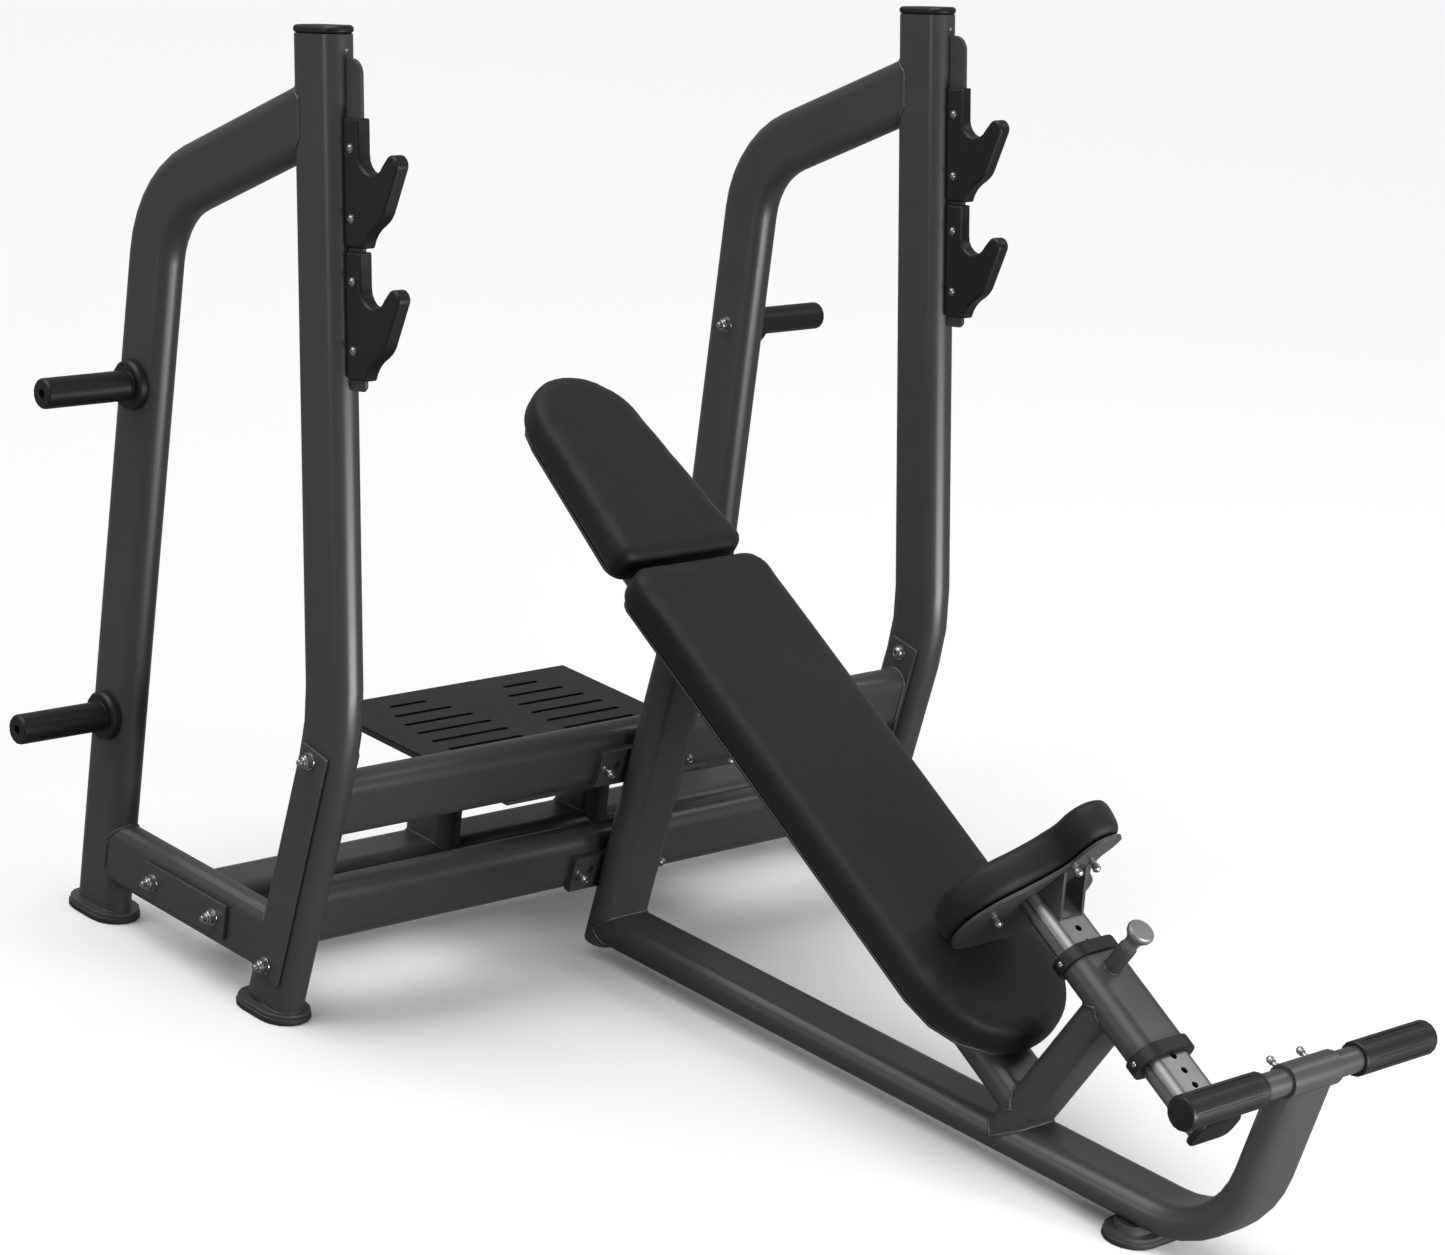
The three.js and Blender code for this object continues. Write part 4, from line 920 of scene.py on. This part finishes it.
class BENCH_OT_rack_fasteners(Operator):
    """Fit the rack's hook bolts, joint bolts and nuts."""

    bl_idname = "bench.rack_fasteners"
    bl_label = "Fit rack fasteners"

    def execute(self, context):
        nut = lock_nut("lock_nut")
        button = socket_head("button_head", 0.0046, 0.0032, 0.0020)
        bolt = socket_head("bolt_head", 0.0092, 0.0072, 0.0046)
        small = socket_head("small_screw", 0.0026, 0.0014, 0.0012, washer=False)
        horn_screw = socket_head("horn_screw", 0.0058, 0.0045, 0.0026, washer=False)
        for side, sign in SIDES.items():
            outward = X_AXIS * sign
            for i, up in enumerate(HOOK_BOLT_UPS):
                spot = upright_place(side, HOOK_BOLT_FORWARD, up)
                fasten(f"{side}_hook_bolt_{i}", button, spot + outward * HOOK_HALF_WIDTH, outward)
                fasten(f"{side}_hook_bolt_inner_{i}", button, spot - outward * HOOK_HALF_WIDTH, -outward)
            face = TUBE_HALF_THIN + TUBE_GAP + PLATE
            for i, up in enumerate(FOOT_BOLT_UPS):
                spot = foot_place(side, FOOT_BOLT_BACK, up)
                fasten(f"{side}_foot_nut_{i}", nut, spot + outward * face, outward, turn=0.3 * i)
                fasten(f"{side}_foot_bolt_{i}", bolt, spot - outward * face, -outward)
            plate = middle(f"{side}_side_joint_plate")
            inner = abs(plate.x) - PLATE / 2 - 2 * TUBE_HALF_THIN - SIDE_BOLT_PLAY - PLATE
            for i, back in enumerate(SIDE_BOLT_BACKS):
                spot = Vector((plate.x, plate.y + back, plate.z))
                fasten(f"{side}_beam_nut_{i}", nut, spot + outward * PLATE / 2, outward, turn=0.5 + 0.4 * i)
                fasten(f"{side}_beam_bolt_{i}", bolt, Vector((sign * inner, spot.y, spot.z)), -outward)
            spot = upright_place(side, TUBE_HALF_LONG - CAP_SCREW_SINK, CAP_SCREW_UP)
            fasten(f"{side}_cap_screw_0", small, spot, -UPRIGHT_BACK)
            inner = abs(foot_place(side, 0, 0).x) - TUBE_HALF_THIN
            for level in ("lower", "upper"):
                low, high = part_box(f"{side}_{level}_plate_horn")
                spot = middle(f"{side}_{level}_plate_horn")
                spot.x = high.x if sign > 0 else low.x
                fasten(f"{side}_{level}_horn_screw", horn_screw, spot - outward * HORN_SCREW_SINK, outward)
                fasten(f"{side}_{level}_horn_nut", nut, Vector((sign * inner, spot.y, spot.z)), -outward)
        return {"FINISHED"}


class BENCH_OT_bench_fasteners(Operator):
    """Fit the bench's joint screws, collar screws and footrest screws."""

    bl_idname = "bench.bench_fasteners"
    bl_label = "Fit bench fasteners"

    def execute(self, context):
        standing = standing_screw("standing_screw", 0.0075, 0.019, 0.0055)
        small = socket_head("collar_screw", 0.0042, 0.0026, 0.0019, washer=False)
        setter = standing_screw("set_screw", 0.0055, 0.018, 0.0036)
        for level in ("upper", "lower"):
            plate = middle(f"bench_{level}_joint_plate")
            for name, sign in SIDES.items():
                spot = Vector((sign * BENCH_SCREW_ACROSS, plate.y, plate.z)) - UP_FOOT_BACK * PLATE / 2
                fasten(f"{name}_{level}_bench_screw", standing, spot, -UP_FOOT_BACK)
        for level in ("upper", "lower"):
            collar = middle(f"{level}_sleeve_collar")
            for name, sign in SIDES.items():
                spot = collar + X_AXIS * sign * COLLAR_HALF_WIDTH
                fasten(f"{name}_{level}_collar_screw", small, spot, X_AXIS * sign)
        sleeve = middle("footrest_sleeve")
        out, _ = tilted(FOOTREST_SCREW_TILT)
        for name, across in FOOTREST_SCREWS.items():
            spot = sleeve + X_AXIS * across + out * FOOTREST_SLEEVE_RADIUS
            fasten(f"{name}_footrest_screw", setter, spot, out)
        return {"FINISHED"}


class BENCH_OT_seat_fasteners(Operator):
    """Fit the four screws under the seat board."""

    bl_idname = "bench.seat_fasteners"
    bl_label = "Fit seat screws"

    def execute(self, context):
        screw = standing_screw("seat_screw", 0.0062, 0.017, 0.0042)
        board = middle("seat_board")
        for i, (across, along) in enumerate(SEAT_SCREWS):
            spot = board + X_AXIS * across + BOARD_Y * (along + SEAT_SCREW_SHIFT) - BOARD_Z * SEAT_BOARD_HALF
            fasten(f"seat_screw_{i}", screw, spot, -BOARD_Z, body="seat_carriage")
        return {"FINISHED"}


def area_light(name, place, target, size, power):
    """A soft rectangular light aimed at a point."""
    data = bpy.data.lights.new(name, "AREA")
    data.shape = "RECTANGLE"
    data.size, data.size_y = size
    data.energy = power
    light = bpy.data.objects.new(name, data)
    light.matrix_world = Matrix.Translation(place) @ facing(Vector(place) - Vector(target))
    bpy.context.scene.collection.objects.link(light)
    return light


class BENCH_OT_stage(Operator):
    """Set the floor, the soft lights and the camera."""

    bl_idname = "bench.stage"
    bl_label = "Set stage"

    def execute(self, context):
        scene = context.scene
        settings = scene.bench_stage
        mesh = bpy.data.meshes.new("floor")
        corners = [(x * FLOOR_REACH, y * FLOOR_REACH, 0) for x, y in ((-1, -1), (1, -1), (1, 1), (-1, 1))]
        mesh.from_pydata(corners, [], [(0, 1, 2, 3)])
        floor = bpy.data.objects.new("floor", mesh)
        scene.collection.objects.link(floor)
        material, tree, shader = start_material("floor_paper")
        grain = put(tree, "ShaderNodeTexNoise", None, Vector=object_place(tree), Scale=300.0, Detail=3.0)
        pale = mixed(tree, grain.outputs["Fac"], shade(settings.floor_colour, 0.99), settings.floor_colour)
        eye = tree.nodes.new("ShaderNodeLightPath").outputs["Is Camera Ray"]
        seen = mixed(tree, eye, shade(settings.floor_colour, settings.bounce), pale)
        tree.links.new(seen, shader.inputs["Base Color"])
        shader.inputs["Roughness"].default_value = 1.0
        shader.inputs["Specular IOR Level"].default_value = 0.0
        mesh.materials.append(material)

        world = bpy.data.worlds.new("surround")
        world.use_nodes = True
        background = world.node_tree.nodes["Background"]
        background.inputs["Color"].default_value = (1, 1, 1, 1)
        eye = world.node_tree.nodes.new("ShaderNodeLightPath").outputs["Is Camera Ray"]
        strength = scaled(world.node_tree, eye, settings.surround, 1.0)
        world.node_tree.links.new(strength, background.inputs["Strength"])
        scene.world = world
        scene.view_settings.view_transform = "Standard"

        heart = Vector((0, 0, 0.6))
        area_light("floor_strip", (0.1, -2.9, 0.36), (0.1, 0.0, 0.8), (2.8, 0.6), 115)
        area_light("side_light", (-5.6, 2.4, 1.8), heart, (1.2, 2.6), 45)
        area_light("right_light", (4.0, -1.6, 4.2), heart, (1.4, 1.4), 24)
        sun = bpy.data.lights.new("ceiling", "SUN")
        sun.energy = settings.ceiling
        sun.angle = math.radians(60)
        ceiling = bpy.data.objects.new("ceiling", sun)
        ceiling.matrix_world = facing((-0.35, 0.25, 0.9))
        scene.collection.objects.link(ceiling)

        data = bpy.data.cameras.new("camera")
        data.sensor_width = 36
        data.lens = settings.lens
        data.clip_end = 200
        camera = bpy.data.objects.new("camera", data)
        turn = (Matrix.Rotation(settings.azimuth, 4, "Z")
                @ Matrix.Rotation(math.pi / 2 - settings.elevation, 4, "X")
                @ Matrix.Rotation(settings.roll, 4, "Z"))
        camera.matrix_world = Matrix.Translation(settings.place) @ turn
        scene.collection.objects.link(camera)
        scene.camera = camera
        return {"FINISHED"}


STEPS = (
    BENCH_OT_stage, BENCH_OT_materials, BENCH_OT_hard_pieces, BENCH_OT_pads, BENCH_OT_welds,
    BENCH_OT_rack_fasteners, BENCH_OT_bench_fasteners, BENCH_OT_seat_fasteners,
)


class BENCH_PT_finish(Panel):
    """The steps that finish the bench press."""

    bl_label = "Bench press"
    bl_idname = "BENCH_PT_finish"
    bl_space_type = "VIEW_3D"
    bl_region_type = "UI"
    bl_category = "Bench press"

    def draw(self, context):
        for group in ("bench_stage", "bench_finish", "bench_pads", "bench_welds"):
            box = self.layout.box()
            for prop in getattr(context.scene, group).bl_rna.properties:
                if prop.identifier not in ("rna_type", "name"):
                    box.prop(getattr(context.scene, group), prop.identifier)
        for step in STEPS:
            self.layout.operator(step.bl_idname)


SETTINGS = {
    "bench_finish": FinishSettings,
    "bench_pads": PadSettings,
    "bench_welds": WeldSettings,
    "bench_stage": StageSettings,
}


def register():
    for name, group in SETTINGS.items():
        bpy.utils.register_class(group)
        setattr(bpy.types.Scene, name, PointerProperty(type=group))
    for step in (*STEPS, BENCH_PT_finish):
        bpy.utils.register_class(step)


def unregister():
    for step in reversed((*STEPS, BENCH_PT_finish)):
        bpy.utils.unregister_class(step)
    for name, group in SETTINGS.items():
        delattr(bpy.types.Scene, name)
        bpy.utils.unregister_class(group)


def main():
    """Runs every step."""
    register()
    for step in STEPS:
        area, name = step.bl_idname.split(".")
        getattr(getattr(bpy.ops, area), name)()
    bpy.context.view_layer.update()


if __name__ == "__main__":
    main()
